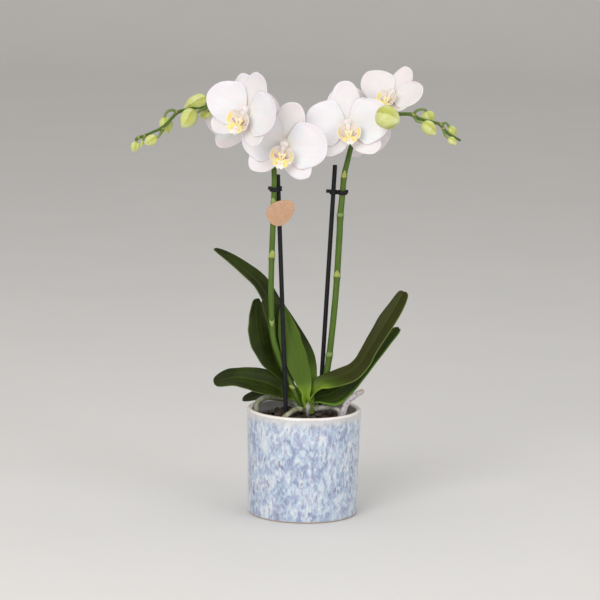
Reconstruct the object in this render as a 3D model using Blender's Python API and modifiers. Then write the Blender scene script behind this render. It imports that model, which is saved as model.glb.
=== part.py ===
"""A moth orchid with two flower spikes. It grows in bark, in a clear culture pot inside a glazed pot.

Metres, +Z up. The origin is the middle of the glazed pot's flat foot, and the blooms face -Y.
"""

import math
import random

import bmesh
import bpy
from mathutils import Matrix, Vector

UP = Vector((0, 0, 1))
GAP = 0.0003  # between pieces that touch
PLANT_GAP = 0.00040  # where a thin leaf or root is cut clear of its neighbours

# Glazed pot
POT_HEIGHT = 0.098
POT_TOP_RADIUS = 0.0525
POT_FOOT_RADIUS = 0.0500
POT_WALL = 0.005
POT_FLOOR = 0.006
POT_FOOT_EDGE = 0.003
POT_INNER_CORNER = 0.006
POT_SIDES = 36

# Clear culture pot inside it, and the bark in that
GROW_POT_HEIGHT = 0.083
GROW_POT_TOP_RADIUS = 0.0445
GROW_POT_FOOT_RADIUS = 0.0350
GROW_POT_WALL = 0.0008
GROW_POT_LIP = 0.0015
GROW_POT_SIDES = 24
DRAIN_HOLES = 6
DRAIN_HOLE_RADIUS = 0.0035
DRAIN_HOLE_DEPTH = 0.012
BARK_EDGE_Z = 0.0880
BARK_MIDDLE_Z = 0.0930
BARK_SIDES = 24
BARK_CHIPS = 18
BARK_CHIP = (0.0140, 0.0095, 0.0050)
BARK_CHIP_TILT = 0.30
BARK_CHIP_INSET = 0.0105  # of the outermost chips' middles

# Crown: the short stem that leaves, roots and spikes grow from
CROWN_X = 0.0033
CROWN_FOOT_Z = 0.0800
CROWN_TOP_Z = 0.1160
CROWN_RADIUS = 0.0070

# Leaves: the midrib's route from the crown to the tip, the half width, where along it is widest, how blunt
# its tip is, which way its upper side faces and how deep the tip's notch is
LEAF_THICKNESS = 0.0018
LEAF_PETIOLE = 0.0042
LEAF_FOLD = 0.30
LEAF_ROWS = 9
LEAF_COLUMNS = 4
LEAF_END = 0.993  # the blade stops short of its pointed end
LEAF_ROW_EASE = 0.06  # rows of faces sit closer together toward the ends
LEAF_FOOT = 0.18  # the share of the leaf that is folded up round the crown
LEAF_FOOT_FOLD = 0.75
LEAF_MIDRIB = 0.10  # how sharp the fold is at the midrib, as a share of the half width
LEAVES = {
    "leaf_middle": dict(
        route=[(0.0020, -0.0056, 0.1050), (0.0012, -0.0080, 0.1085), (0.0009, -0.0075, 0.1165),
               (-0.0016, -0.0050, 0.1282), (-0.0075, -0.0020, 0.1452), (-0.0133, 0.0015, 0.1631),
               (-0.0182, 0.0060, 0.1798), (-0.0212, 0.0090, 0.1937)],
        half_width=0.0122, widest=0.40, blunt=0.8, face=(0.1, -0.96, 0.2), notch=0.0),
    "leaf_right": dict(
        route=[(0.0062, -0.0035, 0.1050), (0.0114, -0.0060, 0.1165), (0.0177, -0.0065, 0.1228),
               (0.0258, -0.0080, 0.1265), (0.0340, -0.0100, 0.1303), (0.0439, -0.0110, 0.1354),
               (0.0519, -0.0110, 0.1434), (0.0572, -0.0100, 0.1526), (0.0634, -0.0090, 0.1632),
               (0.0722, -0.0070, 0.1783), (0.0811, -0.0030, 0.1926), (0.0890, 0.0010, 0.2074)],
        half_width=0.0150, widest=0.38, blunt=1.25, face=(-0.42, -0.55, 0.72), notch=0.0),
    "leaf_low_right": dict(
        route=[(0.0060, 0.0005, 0.1010), (0.0144, -0.0010, 0.1067), (0.0234, -0.0010, 0.1111),
               (0.0334, 0.0010, 0.1160), (0.0434, 0.0040, 0.1222), (0.0525, 0.0080, 0.1305),
               (0.0615, 0.0110, 0.1413), (0.0705, 0.0140, 0.1526), (0.0786, 0.0170, 0.1621),
               (0.0863, 0.0190, 0.1698)],
        half_width=0.0150, widest=0.36, blunt=1.15, face=(-0.3, -0.62, 0.72), notch=0.0),
    "leaf_back_left": dict(
        route=[(0.0055, 0.0055, 0.1060), (0.0062, 0.0095, 0.1246), (0.0018, 0.0110, 0.1402),
               (-0.0091, 0.0140, 0.1572), (-0.0214, 0.0180, 0.1749), (-0.0328, 0.0220, 0.1889),
               (-0.0437, 0.0270, 0.2070), (-0.0569, 0.0310, 0.2187), (-0.0714, 0.0340, 0.2291),
               (-0.0859, 0.0360, 0.2379)],
        half_width=0.0140, widest=0.50, blunt=1.0, face=(0.55, -0.5, 0.67), notch=0.0),
    "leaf_notched": dict(
        route=[(0.0000, 0.0030, 0.1030), (-0.0106, 0.0045, 0.1150), (-0.0200, 0.0055, 0.1277),
               (-0.0267, 0.0070, 0.1404), (-0.0311, 0.0090, 0.1558), (-0.0352, 0.0120, 0.1747),
               (-0.0390, 0.0145, 0.1854), (-0.0420, 0.0170, 0.1970)],
        half_width=0.0212, widest=0.62, blunt=1.36, face=(0.32, -0.90, 0.28), notch=0.0035),
    "leaf_left": dict(
        route=[(-0.0012, 0.0000, 0.1010), (-0.0123, 0.0010, 0.1077), (-0.0243, 0.0000, 0.1151),
               (-0.0354, -0.0020, 0.1204), (-0.0446, -0.0040, 0.1230), (-0.0555, -0.0080, 0.1259),
               (-0.0683, -0.0120, 0.1264), (-0.0827, -0.0160, 0.1222)],
        half_width=0.0150, widest=0.50, blunt=1.15, face=(0.1, -0.75, 0.65), notch=0.0),
    "leaf_low_left": dict(
        route=[(0.0005, 0.0045, 0.0975), (-0.0100, 0.0110, 0.1030), (-0.0240, 0.0160, 0.1050),
               (-0.0400, 0.0210, 0.1040), (-0.0570, 0.0250, 0.0990)],
        half_width=0.0110, widest=0.50, blunt=1.1, face=(-0.05, -0.45, 0.89), notch=0.0),
}

# Aerial roots: route and radius
ROOTS = {
    "root_left_arch": dict(
        route=[(0.0000, 0.0040, 0.0965), (-0.0130, 0.0110, 0.1000), (-0.0250, 0.0120, 0.1030),
               (-0.0360, 0.0110, 0.1035), (-0.0430, 0.0090, 0.0995), (-0.0440, 0.0070, 0.0920)],
        radius=0.0021),
    "root_front": dict(
        route=[(0.0015, -0.0040, 0.0960), (-0.0070, -0.0150, 0.0990), (-0.0130, -0.0250, 0.0975),
               (-0.0190, -0.0320, 0.0930), (-0.0205, -0.0345, 0.0840)],
        radius=0.0022),
    "root_stub": dict(
        route=[(0.0033, -0.0050, 0.1010), (0.0034, -0.0110, 0.1010), (0.0033, -0.0150, 0.0980),
               (0.0032, -0.0160, 0.0920), (0.0032, -0.0160, 0.0860)],
        radius=0.0021),
    "root_right": dict(
        route=[(0.0072, -0.0025, 0.0965), (0.0180, -0.0090, 0.1000), (0.0270, -0.0120, 0.1010),
               (0.0330, -0.0150, 0.0970), (0.0345, -0.0160, 0.0840)],
        radius=0.0022),
    "root_silver": dict(
        route=[(0.0325, -0.0215, 0.0840), (0.0345, -0.0215, 0.0950), (0.0385, -0.0200, 0.1060),
               (0.0450, -0.0190, 0.1130), (0.0525, -0.0180, 0.1175)],
        radius=0.0031),
}
ROOT_STATION = 0.006
ROOT_WAVE = 0.08
ROOT_BLUNT_ENDS = {"root_silver": -1, "root_stub": 0}
ROOT_BLUNT = 0.55

# Stakes
STAKE_RADIUS = 0.00185
STAKE_SIDES = 12
STAKE_FOOT_Z = 0.030
STAKES = {
    "stake_left": dict(low=(-0.0167, -0.0105, 0.0960), high=(-0.0280, -0.0035, 0.3135)),
    "stake_right": dict(low=(0.0146, 0.0120, 0.0996), high=(0.0238, 0.0100, 0.3215)),
}

# Flower spikes: the stalk's route, its radius at the foot and the tip, and the heights of its nodes
SPIKE_STATION = 0.020
SPIKE_BEND_STATION = 0.011  # above the height where the spike starts to bend
SPIKE_BEND_HEIGHT = 0.316
NODE_SWELLING = 0.10
NODE_HALF_LENGTH = 0.0030
SCALE_HEIGHT = 0.0085
SCALE_THICKNESS = 0.0009
SCALE_WRAP = 75  # degrees that its foot reaches round the stalk each way
SCALE_BULGE = 0.14
SCALE_SIDES = (-125, -55)  # the ways that lower and upper scales face, in turn
SPIKES = {
    "spike_left": dict(
        route=[(0.0000, -0.0030, 0.0975), (-0.0052, -0.0050, 0.1050), (-0.0100, -0.0055, 0.1155),
               (-0.0172, -0.0035, 0.1300), (-0.0244, -0.0055, 0.1475), (-0.0298, -0.0065, 0.1660),
               (-0.0320, -0.0070, 0.1985), (-0.0323, -0.0080, 0.2265), (-0.0318, -0.0085, 0.2545),
               (-0.0312, -0.0085, 0.2820), (-0.0311, -0.0085, 0.2999), (-0.0314, -0.0085, 0.3166),
               (-0.0336, -0.0060, 0.3359), (-0.0385, -0.0010, 0.3516), (-0.0469, 0.0030, 0.3637),
               (-0.0607, 0.0055, 0.3718), (-0.0770, 0.0060, 0.3741), (-0.0924, 0.0040, 0.3727),
               (-0.1013, 0.0020, 0.3726), (-0.1103, -0.0010, 0.3706), (-0.1191, -0.0040, 0.3685),
               (-0.1244, -0.0060, 0.3632), (-0.1296, -0.0090, 0.3575), (-0.1349, -0.0110, 0.3536),
               (-0.1411, -0.0140, 0.3511), (-0.1481, -0.0170, 0.3481), (-0.1534, -0.0190, 0.3465),
               (-0.1557, -0.0200, 0.3443)],
        foot_radius=0.0026, tip_radius=0.0011, nodes=(0.1165, 0.1745, 0.2390, 0.2870)),
    "spike_right": dict(
        route=[(0.0066, 0.0030, 0.0985), (0.0172, 0.0050, 0.1160), (0.0203, 0.0045, 0.1318),
               (0.0221, 0.0050, 0.1458), (0.0241, 0.0050, 0.1660), (0.0257, 0.0055, 0.1860),
               (0.0273, 0.0060, 0.2115), (0.0283, 0.0063, 0.2350), (0.0292, 0.0065, 0.2579),
               (0.0296, 0.0075, 0.2761), (0.0311, 0.0085, 0.2957), (0.0323, 0.0095, 0.3116),
               (0.0354, 0.0110, 0.3260), (0.0380, 0.0120, 0.3371), (0.0432, 0.0125, 0.3497),
               (0.0493, 0.0120, 0.3600), (0.0564, 0.0090, 0.3668), (0.0671, 0.0030, 0.3700),
               (0.0787, -0.0030, 0.3704), (0.0858, -0.0060, 0.3709), (0.0911, -0.0078, 0.3709),
               (0.0948, -0.0090, 0.3691), (0.0984, -0.0095, 0.3674), (0.1038, -0.0100, 0.3658),
               (0.1101, -0.0110, 0.3647), (0.1155, -0.0125, 0.3636), (0.1187, -0.0135, 0.3615),
               (0.1219, -0.0145, 0.3576), (0.1256, -0.0155, 0.3542), (0.1310, -0.0165, 0.3517),
               (0.1355, -0.0175, 0.3493)],
        foot_radius=0.0026, tip_radius=0.0011, nodes=(0.1460, 0.2210, 0.2770, 0.3125)),
}

# Buds: the stalk's points from the spike to the bud, the bud's foot and tip and its width
BUDS = {
    "spike_left": [
        dict(stalk=[(-0.0924, 0.0040, 0.3732), (-0.0934, 0.0060, 0.3779)],
             foot=(-0.0935, 0.0070, 0.3810), tip=(-0.1141, 0.0050, 0.3708), width=0.0135),
        dict(stalk=[(-0.0933, 0.0040, 0.3722), (-0.0985, -0.0010, 0.3704), (-0.1028, -0.0060, 0.3681)],
             foot=(-0.1041, -0.0080, 0.3706), tip=(-0.1148, -0.0180, 0.3566), width=0.0150),
        dict(stalk=[(-0.0914, 0.0040, 0.3718), (-0.0906, 0.0090, 0.3685)],
             foot=(-0.0902, 0.0100, 0.3684), tip=(-0.1002, 0.0130, 0.3629), width=0.0095),
        dict(stalk=[(-0.1200, -0.0043, 0.3685), (-0.1246, -0.0030, 0.3701), (-0.1292, -0.0020, 0.3681)],
             foot=(-0.1314, -0.0010, 0.3634), tip=(-0.1286, 0.0010, 0.3478), width=0.0122),
        dict(stalk=[(-0.1322, -0.0102, 0.3535), (-0.1355, -0.0160, 0.3478)],
             foot=(-0.1376, -0.0190, 0.3468), tip=(-0.1481, -0.0240, 0.3417), width=0.0095),
        dict(stalk=[(-0.1534, -0.0190, 0.3465), (-0.1559, -0.0190, 0.3451)],
             foot=(-0.1555, -0.0200, 0.3425), tip=(-0.1584, -0.0230, 0.3340), width=0.0075),
        dict(stalk=[(-0.1485, -0.0172, 0.3479), (-0.1498, -0.0180, 0.3451)],
             foot=(-0.1496, -0.0180, 0.3446), tip=(-0.1517, -0.0200, 0.3376), width=0.0030),
    ],
    "spike_right": [
        dict(stalk=[(0.0706, 0.0012, 0.3700), (0.0739, -0.0120, 0.3722)],
             foot=(0.0602, -0.0220, 0.3722), tip=(0.0802, -0.0340, 0.3672), width=0.0205),
        dict(stalk=[(0.0929, -0.0084, 0.3706), (0.0965, -0.0070, 0.3744), (0.1020, -0.0040, 0.3752)],
             foot=(0.1053, 0.0000, 0.3733), tip=(0.1087, -0.0020, 0.3618), width=0.0125),
        dict(stalk=[(0.0939, -0.0088, 0.3697), (0.0965, -0.0140, 0.3656)],
             foot=(0.1018, -0.0170, 0.3647), tip=(0.1136, -0.0210, 0.3546), width=0.0118),
        dict(stalk=[(0.1182, -0.0132, 0.3628), (0.1227, -0.0130, 0.3642)],
             foot=(0.1256, -0.0110, 0.3604), tip=(0.1320, -0.0120, 0.3530), width=0.0080),
        dict(stalk=[(0.1205, -0.0142, 0.3593), (0.1219, -0.0180, 0.3539)],
             foot=(0.1250, -0.0200, 0.3515), tip=(0.1322, -0.0230, 0.3461), width=0.0066),
    ],
}
BUD_STALK_RADIUS = 0.0012
FLOWER_STALK_RADIUS = 0.0013
FLOWER_STALK_STEPS = 4
FLOWER_STALK_BEND = 0.55  # how far behind the flower its stalk bends, as a share of the stalk
BUD_ROUND = 8
BUD_ALONG = 5
BUD_STALK_DEPTH = 0.35  # how far into the bud its stalk runs, as a share of the bud
BUD_TAPER = 0.16
BUD_RIDGE = 0.05

# Blooms: the middle of the flower, how far it turns to the left, tips up and leans clockwise, its size,
# how far the petals cup forward, and where its stalk leaves the spike
BLOOMS = {
    "bloom_1": dict(middle=(-0.0562, -0.0380, 0.3744), turn=27, tip=7, lean=15, size=0.95, cup=19,
                    spike="spike_left", start=(-0.0607, 0.0055, 0.3718)),
    "bloom_2": dict(middle=(-0.0229, -0.0240, 0.3436), turn=1.5, tip=-5, lean=9.5, size=1.02, cup=9,
                    spike="spike_left", start=(-0.0336, -0.0060, 0.3359)),
    "bloom_3": dict(middle=(0.0340, -0.0060, 0.3592), turn=-4, tip=20, lean=-4, size=1.01, cup=13,
                    spike="spike_right", start=(0.0432, 0.0125, 0.3497)),
    "bloom_4": dict(middle=(0.0748, 0.0270, 0.3840), turn=16, tip=45, lean=16, size=0.80, cup=13,
                    spike="spike_right", start=(0.0640, 0.0048, 0.3692)),
    "bloom_5": dict(middle=(-0.0587, 0.0300, 0.3609), turn=155, tip=0, lean=0, size=1.0, cup=10,
                    spike="spike_left", start=(-0.0640, 0.0056, 0.3722)),
    "bloom_6": dict(middle=(0.0433, 0.0330, 0.3590), turn=176, tip=0, lean=-48, size=0.93, cup=8,
                    spike="spike_right", start=(0.0493, 0.0120, 0.3600)),
}
TEPAL_THICKNESS = 0.0008
TEPAL_ROOT = 0.0015
CLAW = 0.0018
CUP_REACH = 0.0385  # how far out the cup's angle is measured
TEPAL_CORNER = 0.94  # how much of its round end the blade's last row follows
TEPAL_ARCH = 0.05  # how far its sides turn back, as a share of the half width
TEPAL_CLOSE = 0.08  # how much narrower it is at its end than at its widest
# Tepals: direction, clockwise from straight up as seen from the front, length, half width, where along it
# is widest, how round its end is, and how far in front of the flower's middle it lies
SEPAL = dict(widest=0.80, roundness=0.42, rows=4, columns=4)
PETAL = dict(widest=0.70, roundness=0.55, rows=4, columns=5)
TEPALS = [
    dict(angle=0, length=0.0400, half_width=0.0133, layer=-0.0014, **SEPAL),
    dict(angle=135, length=0.0362, half_width=0.0122, layer=-0.0016, **SEPAL),
    dict(angle=-135, length=0.0362, half_width=0.0122, layer=-0.0016, **SEPAL),
    dict(angle=81.5, length=0.0382, half_width=0.0212, layer=0.0008, **PETAL),
    dict(angle=-81.5, length=0.0382, half_width=0.0212, layer=0.0008, **PETAL),
]
HUB = (0.0036, 0.0036, 0.0034)
HUB_BACK = 0.0016
COLUMN = (0.0027, 0.0027, 0.0048)
COLUMN_MIDDLE = (0.0, 0.0004, 0.0042)

# Lip: a foot on the flower's middle that ends in a bump, a bowl round it that the two side lobes and the
# base of the middle lobe make, and the trowel-shaped end of the middle lobe
LIP_THICKNESS = 0.0007
LIP_FOOT = (0.0026, 0.0025, 0.0050)
LIP_FOOT_MIDDLE = (0.0, -0.0078, 0.0043)
BOWL_MIDDLE = (0.0, -0.0085)
BOWL_INNER_RADIUS = 0.0018
BOWL_RADIUS = 0.0105
BOWL_FLOOR = 0.0042
BOWL_DEPTH = 0.0070
BOWL_REACH = 150  # degrees from straight down to the end of a side lobe
NOTCH_AT = 38  # degrees from straight down to the notch between a side lobe and the middle lobe
NOTCH_WIDTH = 13
NOTCH_DEPTH = 0.30
MIDDLE_LOBE_FROM = (-0.0130, 0.0065)
MIDDLE_LOBE_TO = (-0.0212, 0.0120)
MIDDLE_LOBE_HALF_WIDTH = 0.0058
MIDDLE_LOBE_NECK = 0.0012
MIDDLE_LOBE_CURL = 0.0016  # how far its sides turn forward and up
MIDDLE_LOBE_SPAN = (0.12, 0.92)  # the stretch of a sine wave that its outline follows

# Clips: a ring round the spike, one round the stake, a bar between them and two ears
CLIP_HEIGHT = 0.0040
CLIP_WALL = 0.0014
CLIP_SIDES = 12
CLIP_EAR = 0.0042
CLIP_EAR_RISE = 0.0008
CLIPS = {
    "clip_left": dict(spike="spike_left", stake="stake_left", z=0.3005,
                      ears=((-0.0055, 0.0010), (0.0070, 0.0040))),
    "clip_right": dict(spike="spike_right", stake="stake_right", z=0.2965,
                       ears=((-0.0150, 0.0010), (0.0052, 0.0000))),
}

# Tag: an egg-shaped card in front of the left spike
TAG_MIDDLE = (-0.0250, 0.2798)
TAG_LENGTH = 0.0280
TAG_WIDTH = 0.0212
TAG_EGG = 0.22
TAG_LEAN = 38
TAG_THICKNESS = 0.0008
TAG_POINTS = 28

COLOURS = {
    "glaze": ((0.62, 0.68, 0.80), 0.20),
    "clear plastic": ((0.80, 0.84, 0.84), 0.15),
    "bark": ((0.050, 0.032, 0.020), 0.90),
    "crown green": ((0.16, 0.28, 0.05), 0.50),
    "leaf green": ((0.045, 0.115, 0.020), 0.35),
    "root grey": ((0.26, 0.27, 0.19), 0.75),
    "stalk green": ((0.10, 0.22, 0.03), 0.45),
    "white petal": ((0.87, 0.85, 0.84), 0.50),
    "yellow lip": ((0.86, 0.72, 0.25), 0.45),
    "black plastic": ((0.015, 0.015, 0.017), 0.45),
    "kraft card": ((0.58, 0.36, 0.22), 0.85),
}


# Scene and materials


def clear_scene():
    for obj in list(bpy.data.objects):
        bpy.data.objects.remove(obj)


def new_collection(name):
    collection = bpy.data.collections.new(name)
    bpy.context.scene.collection.children.link(collection)
    return collection


def material(name):
    found = bpy.data.materials.get(name)
    if found:
        return found
    colour, roughness = COLOURS[name]
    made = bpy.data.materials.new(name)
    made.use_nodes = True
    shader = made.node_tree.nodes["Principled BSDF"]
    shader.inputs["Base Color"].default_value = (*colour, 1)
    shader.inputs["Roughness"].default_value = roughness
    made.diffuse_color = (*colour, 1)
    return made


def new_object(name, mesh):
    obj = bpy.data.objects.new(name, mesh)
    bpy.context.scene.collection.objects.link(obj)
    return obj


def finish(obj, name, material_name):
    """Names a finished piece, gives it its material and puts it in the orchid's collection."""
    obj.name = name
    obj.data.name = name
    obj.data.materials.clear()
    obj.data.materials.append(material(material_name))
    obj.data.shade_smooth()
    obj.data.set_sharp_from_angle(angle=math.radians(40))
    for collection in list(obj.users_collection):
        collection.objects.unlink(obj)
    bpy.data.collections["moth orchid"].objects.link(obj)
    return obj


# Routes


def smooth_curve(points, steps=16):
    """A dense Catmull-Rom curve through the points."""
    points = [Vector(point) for point in points]
    ends = [2 * points[0] - points[1], *points, 2 * points[-1] - points[-2]]
    curve = []
    for before, start, end, after in zip(ends, ends[1:], ends[2:], ends[3:]):
        for step in range(steps):
            t = step / steps
            bend = (2 * before - 5 * start + 4 * end - after) * t * t
            turn = (3 * start - before - 3 * end + after) * t * t * t
            curve.append((2 * start + (end - before) * t + bend + turn) / 2)
    return [*curve, points[-1]]


def at_length(curve, wanted):
    """The points at the wanted distances along a dense curve, as shares of its length."""
    lengths = [0.0]
    for start, end in zip(curve, curve[1:]):
        lengths.append(lengths[-1] + (end - start).length)
    found = []
    piece = 0
    for share in wanted:
        target = share * lengths[-1]
        while piece < len(curve) - 2 and lengths[piece + 1] < target:
            piece += 1
        span = lengths[piece + 1] - lengths[piece]
        found.append(curve[piece].lerp(curve[piece + 1], (target - lengths[piece]) / span))
    return found


def route_length(curve):
    return sum((end - start).length for start, end in zip(curve, curve[1:]))


def share_at_height(curve, height):
    """How far along the curve, as a share of its length, it first reaches a height."""
    travelled = 0.0
    for start, end in zip(curve, curve[1:]):
        if start.z <= height <= end.z:
            past_start = (height - start.z) / (end.z - start.z) * (end - start).length
            return (travelled + past_start) / route_length(curve)
        travelled += (end - start).length
    return 1.0


# Solids


def baked(obj):
    """The object's evaluated mesh as a plain mesh object that takes its place."""
    graph = bpy.context.evaluated_depsgraph_get()
    mesh = bpy.data.meshes.new_from_object(obj.evaluated_get(graph))
    mesh.transform(obj.matrix_world)
    name = obj.name
    bpy.data.objects.remove(obj)
    return new_object(name, mesh)


def facing_out(obj):
    """Welds the seams that a curve, a Screw or a Solidify leaves, and turns every face outward."""
    mesh = bmesh.new()
    mesh.from_mesh(obj.data)
    bmesh.ops.remove_doubles(mesh, verts=mesh.verts, dist=1e-6)
    bmesh.ops.recalc_face_normals(mesh, faces=mesh.faces)
    mesh.to_mesh(obj.data)
    mesh.free()
    return obj


def tube(name, points, radii, resolution=2):
    """A solid tube along the points, with flat ends."""
    data = bpy.data.curves.new(name, "CURVE")
    data.dimensions = "3D"
    data.bevel_depth = 1.0
    data.bevel_resolution = resolution
    data.use_fill_caps = True
    spline = data.splines.new("POLY")
    spline.points.add(len(points) - 1)
    for point, place, radius in zip(spline.points, points, radii):
        point.co = (*place, 1)
        point.radius = radius
    return facing_out(baked(new_object(name, data)))


def ellipsoid(name, middle, radii, around=10, along=6, turn=Matrix()):
    mesh = bmesh.new()
    bmesh.ops.create_uvsphere(mesh, u_segments=around, v_segments=along, radius=1)
    place = Matrix.Translation(middle) @ turn @ Matrix.Diagonal((*radii, 1))
    bmesh.ops.transform(mesh, verts=mesh.verts, matrix=place)
    data = bpy.data.meshes.new(name)
    mesh.to_mesh(data)
    mesh.free()
    return new_object(name, data)


def blade(name, rows, columns, place, thickness):
    """A thin blade: a grid bent by place(along, across), with along from 0 to 1 and across from -1 to 1."""
    mesh = bmesh.new()
    bmesh.ops.create_grid(mesh, x_segments=rows, y_segments=columns, size=1)
    for vertex in mesh.verts:
        vertex.co = place((vertex.co.x + 1) / 2, vertex.co.y)
    bmesh.ops.triangulate(mesh, faces=mesh.faces)
    data = bpy.data.meshes.new(name)
    mesh.to_mesh(data)
    mesh.free()
    obj = new_object(name, data)
    shell = obj.modifiers.new("thickness", "SOLIDIFY")
    shell.thickness = thickness
    shell.offset = 0
    return facing_out(baked(obj))


def turned(name, profile, sides):
    """A solid turned round Z from a profile of (radius, height) that ends on the axis."""
    data = bpy.data.meshes.new(name)
    data.from_pydata([(radius, 0, height) for radius, height in profile],
                     [(i, i + 1) for i in range(len(profile) - 1)], [])
    obj = new_object(name, data)
    screw = obj.modifiers.new("turn", "SCREW")
    screw.steps = sides
    screw.render_steps = sides
    screw.use_merge_vertices = True
    screw.merge_threshold = 0.0001
    return facing_out(baked(obj))


def arc(centre, radius, start, end, steps):
    """Points of a profile's round stretch, between two angles in degrees."""
    angles = [math.radians(start + (end - start) * step / steps) for step in range(steps + 1)]
    return [(centre[0] + radius * math.cos(a), centre[1] + radius * math.sin(a)) for a in angles]


def boolean(obj, operation, other=None, collection=None, solver="EXACT"):
    cut = obj.modifiers.new("cut", "BOOLEAN")
    cut.operation = operation
    cut.solver = solver
    if collection:
        cut.operand_type = "COLLECTION"
        cut.collection = collection
    else:
        cut.object = other
    return baked(obj)


def fused(name, objects, solver="MANIFOLD"):
    """One body from several that overlap."""
    first, *rest = objects
    group = new_collection("fusing")
    for obj in rest:
        bpy.context.scene.collection.objects.unlink(obj)
        group.objects.link(obj)
    joined = boolean(first, "UNION", collection=group, solver=solver)
    for obj in rest:
        bpy.data.objects.remove(obj)
    bpy.data.collections.remove(group)
    joined.name = name
    return drop_scraps(joined)


def bodies_of(mesh):
    """The vertices of each loose body in a bmesh, largest first."""
    left = set(mesh.verts)
    bodies = []
    while left:
        body = set()
        edge_of_body = [left.pop()]
        while edge_of_body:
            vertex = edge_of_body.pop()
            body.add(vertex)
            for edge in vertex.link_edges:
                other = edge.other_vert(vertex)
                if other in left:
                    left.remove(other)
                    edge_of_body.append(other)
        bodies.append(body)
    return sorted(bodies, key=len, reverse=True)


def drop_scraps(obj):
    """Keeps the largest body of an object and deletes the loose ones."""
    mesh = bmesh.new()
    mesh.from_mesh(obj.data)
    scraps = [vertex for body in bodies_of(mesh)[1:] for vertex in body]
    bmesh.ops.delete(mesh, geom=scraps, context="VERTS")
    mesh.to_mesh(obj.data)
    mesh.free()
    return obj


def grown(obj, gap):
    """A copy of a solid that is larger by the gap all round, to cut its neighbours with."""
    mesh = bmesh.new()
    mesh.from_mesh(obj.data)
    mesh.normal_update()
    moved = [(vertex, vertex.normal * gap * min(vertex.calc_shell_factor(), 1.6)) for vertex in mesh.verts]
    for vertex, step in moved:
        vertex.co += step
    data = bpy.data.meshes.new(obj.name + " cutter")
    mesh.to_mesh(data)
    mesh.free()
    return new_object(obj.name + " cutter", data)


def cut_clear(obj, others, gap=GAP):
    """Cuts an object back from the others, so that a gap stays between them."""
    for other in others:
        cutter = grown(other, gap)
        name = obj.name
        obj = boolean(obj, "DIFFERENCE", other=cutter, solver="MANIFOLD")
        obj.name = name
        bpy.data.objects.remove(cutter)
    return drop_scraps(obj)


# Pot, culture pot and bark


def pot_radius(z):
    """The glazed pot's outer radius at a height."""
    return POT_FOOT_RADIUS + (POT_TOP_RADIUS - POT_FOOT_RADIUS) * z / POT_HEIGHT


def make_pot():
    rim = POT_WALL / 2
    rim_middle = (pot_radius(POT_HEIGHT) - rim, POT_HEIGHT - rim)
    corner = POT_INNER_CORNER
    corner_middle = (pot_radius(POT_FLOOR + corner) - POT_WALL - corner, POT_FLOOR + corner)
    foot = POT_FOOT_EDGE
    foot_middle = (pot_radius(foot) - foot, foot)
    profile = [(0, POT_FLOOR)]
    profile += arc(corner_middle, corner, -90, 0, 2)
    profile += arc(rim_middle, rim, 180, 0, 4)
    profile += arc(foot_middle, foot, 0, -90, 2)
    profile += [(0, 0)]
    return finish(turned("pot", profile, POT_SIDES), "pot", "glaze")


def grow_pot_profile(inset):
    """The culture pot's wall line, moved in by the inset."""
    floor = POT_FLOOR + GAP + inset
    return floor, GROW_POT_FOOT_RADIUS - inset, GROW_POT_TOP_RADIUS - inset


def make_grow_pot():
    floor, foot_radius, top_radius = grow_pot_profile(0)
    inner_floor, inner_foot, inner_top = grow_pot_profile(GROW_POT_WALL)
    top = floor + GROW_POT_HEIGHT
    lip = GROW_POT_LIP
    profile = [(0, inner_floor), (inner_foot, inner_floor), (inner_top, top), (top_radius + lip, top),
               (top_radius + lip, top - lip), (top_radius, top - lip), (foot_radius, floor), (0, floor)]
    shell = turned("grow_pot", profile, GROW_POT_SIDES)
    cutters = []
    for hole in range(DRAIN_HOLES):
        angle = math.tau * hole / DRAIN_HOLES
        outward = Vector((math.cos(angle), math.sin(angle), 0))
        place = outward * foot_radius + UP * (floor + 2 * DRAIN_HOLE_RADIUS)
        turn = UP.rotation_difference(outward).to_matrix().to_4x4()
        cutters.append(cylinder("drain hole", place, DRAIN_HOLE_RADIUS, DRAIN_HOLE_DEPTH, 8, turn))
    for cutter in cutters:
        shell = boolean(shell, "DIFFERENCE", other=cutter)
        bpy.data.objects.remove(cutter)
    return finish(shell, "grow_pot", "clear plastic")


def cylinder(name, middle, radius, length, sides, turn=Matrix()):
    mesh = bmesh.new()
    bmesh.ops.create_cone(mesh, cap_ends=True, segments=sides, radius1=radius, radius2=radius, depth=length)
    bmesh.ops.transform(mesh, verts=mesh.verts, matrix=Matrix.Translation(middle) @ turn)
    data = bpy.data.meshes.new(name)
    mesh.to_mesh(data)
    mesh.free()
    return new_object(name, data)


def box(name, middle, size, turn=Matrix()):
    mesh = bmesh.new()
    bmesh.ops.create_cube(mesh, size=1)
    place = Matrix.Translation(middle) @ turn @ Matrix.Diagonal((*size, 1))
    bmesh.ops.transform(mesh, verts=mesh.verts, matrix=place)
    data = bpy.data.meshes.new(name)
    mesh.to_mesh(data)
    mesh.free()
    return new_object(name, data)


def bark_surface(radius):
    share = radius / GROW_POT_TOP_RADIUS
    return BARK_MIDDLE_Z + (BARK_EDGE_Z - BARK_MIDDLE_Z) * share * share


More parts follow.
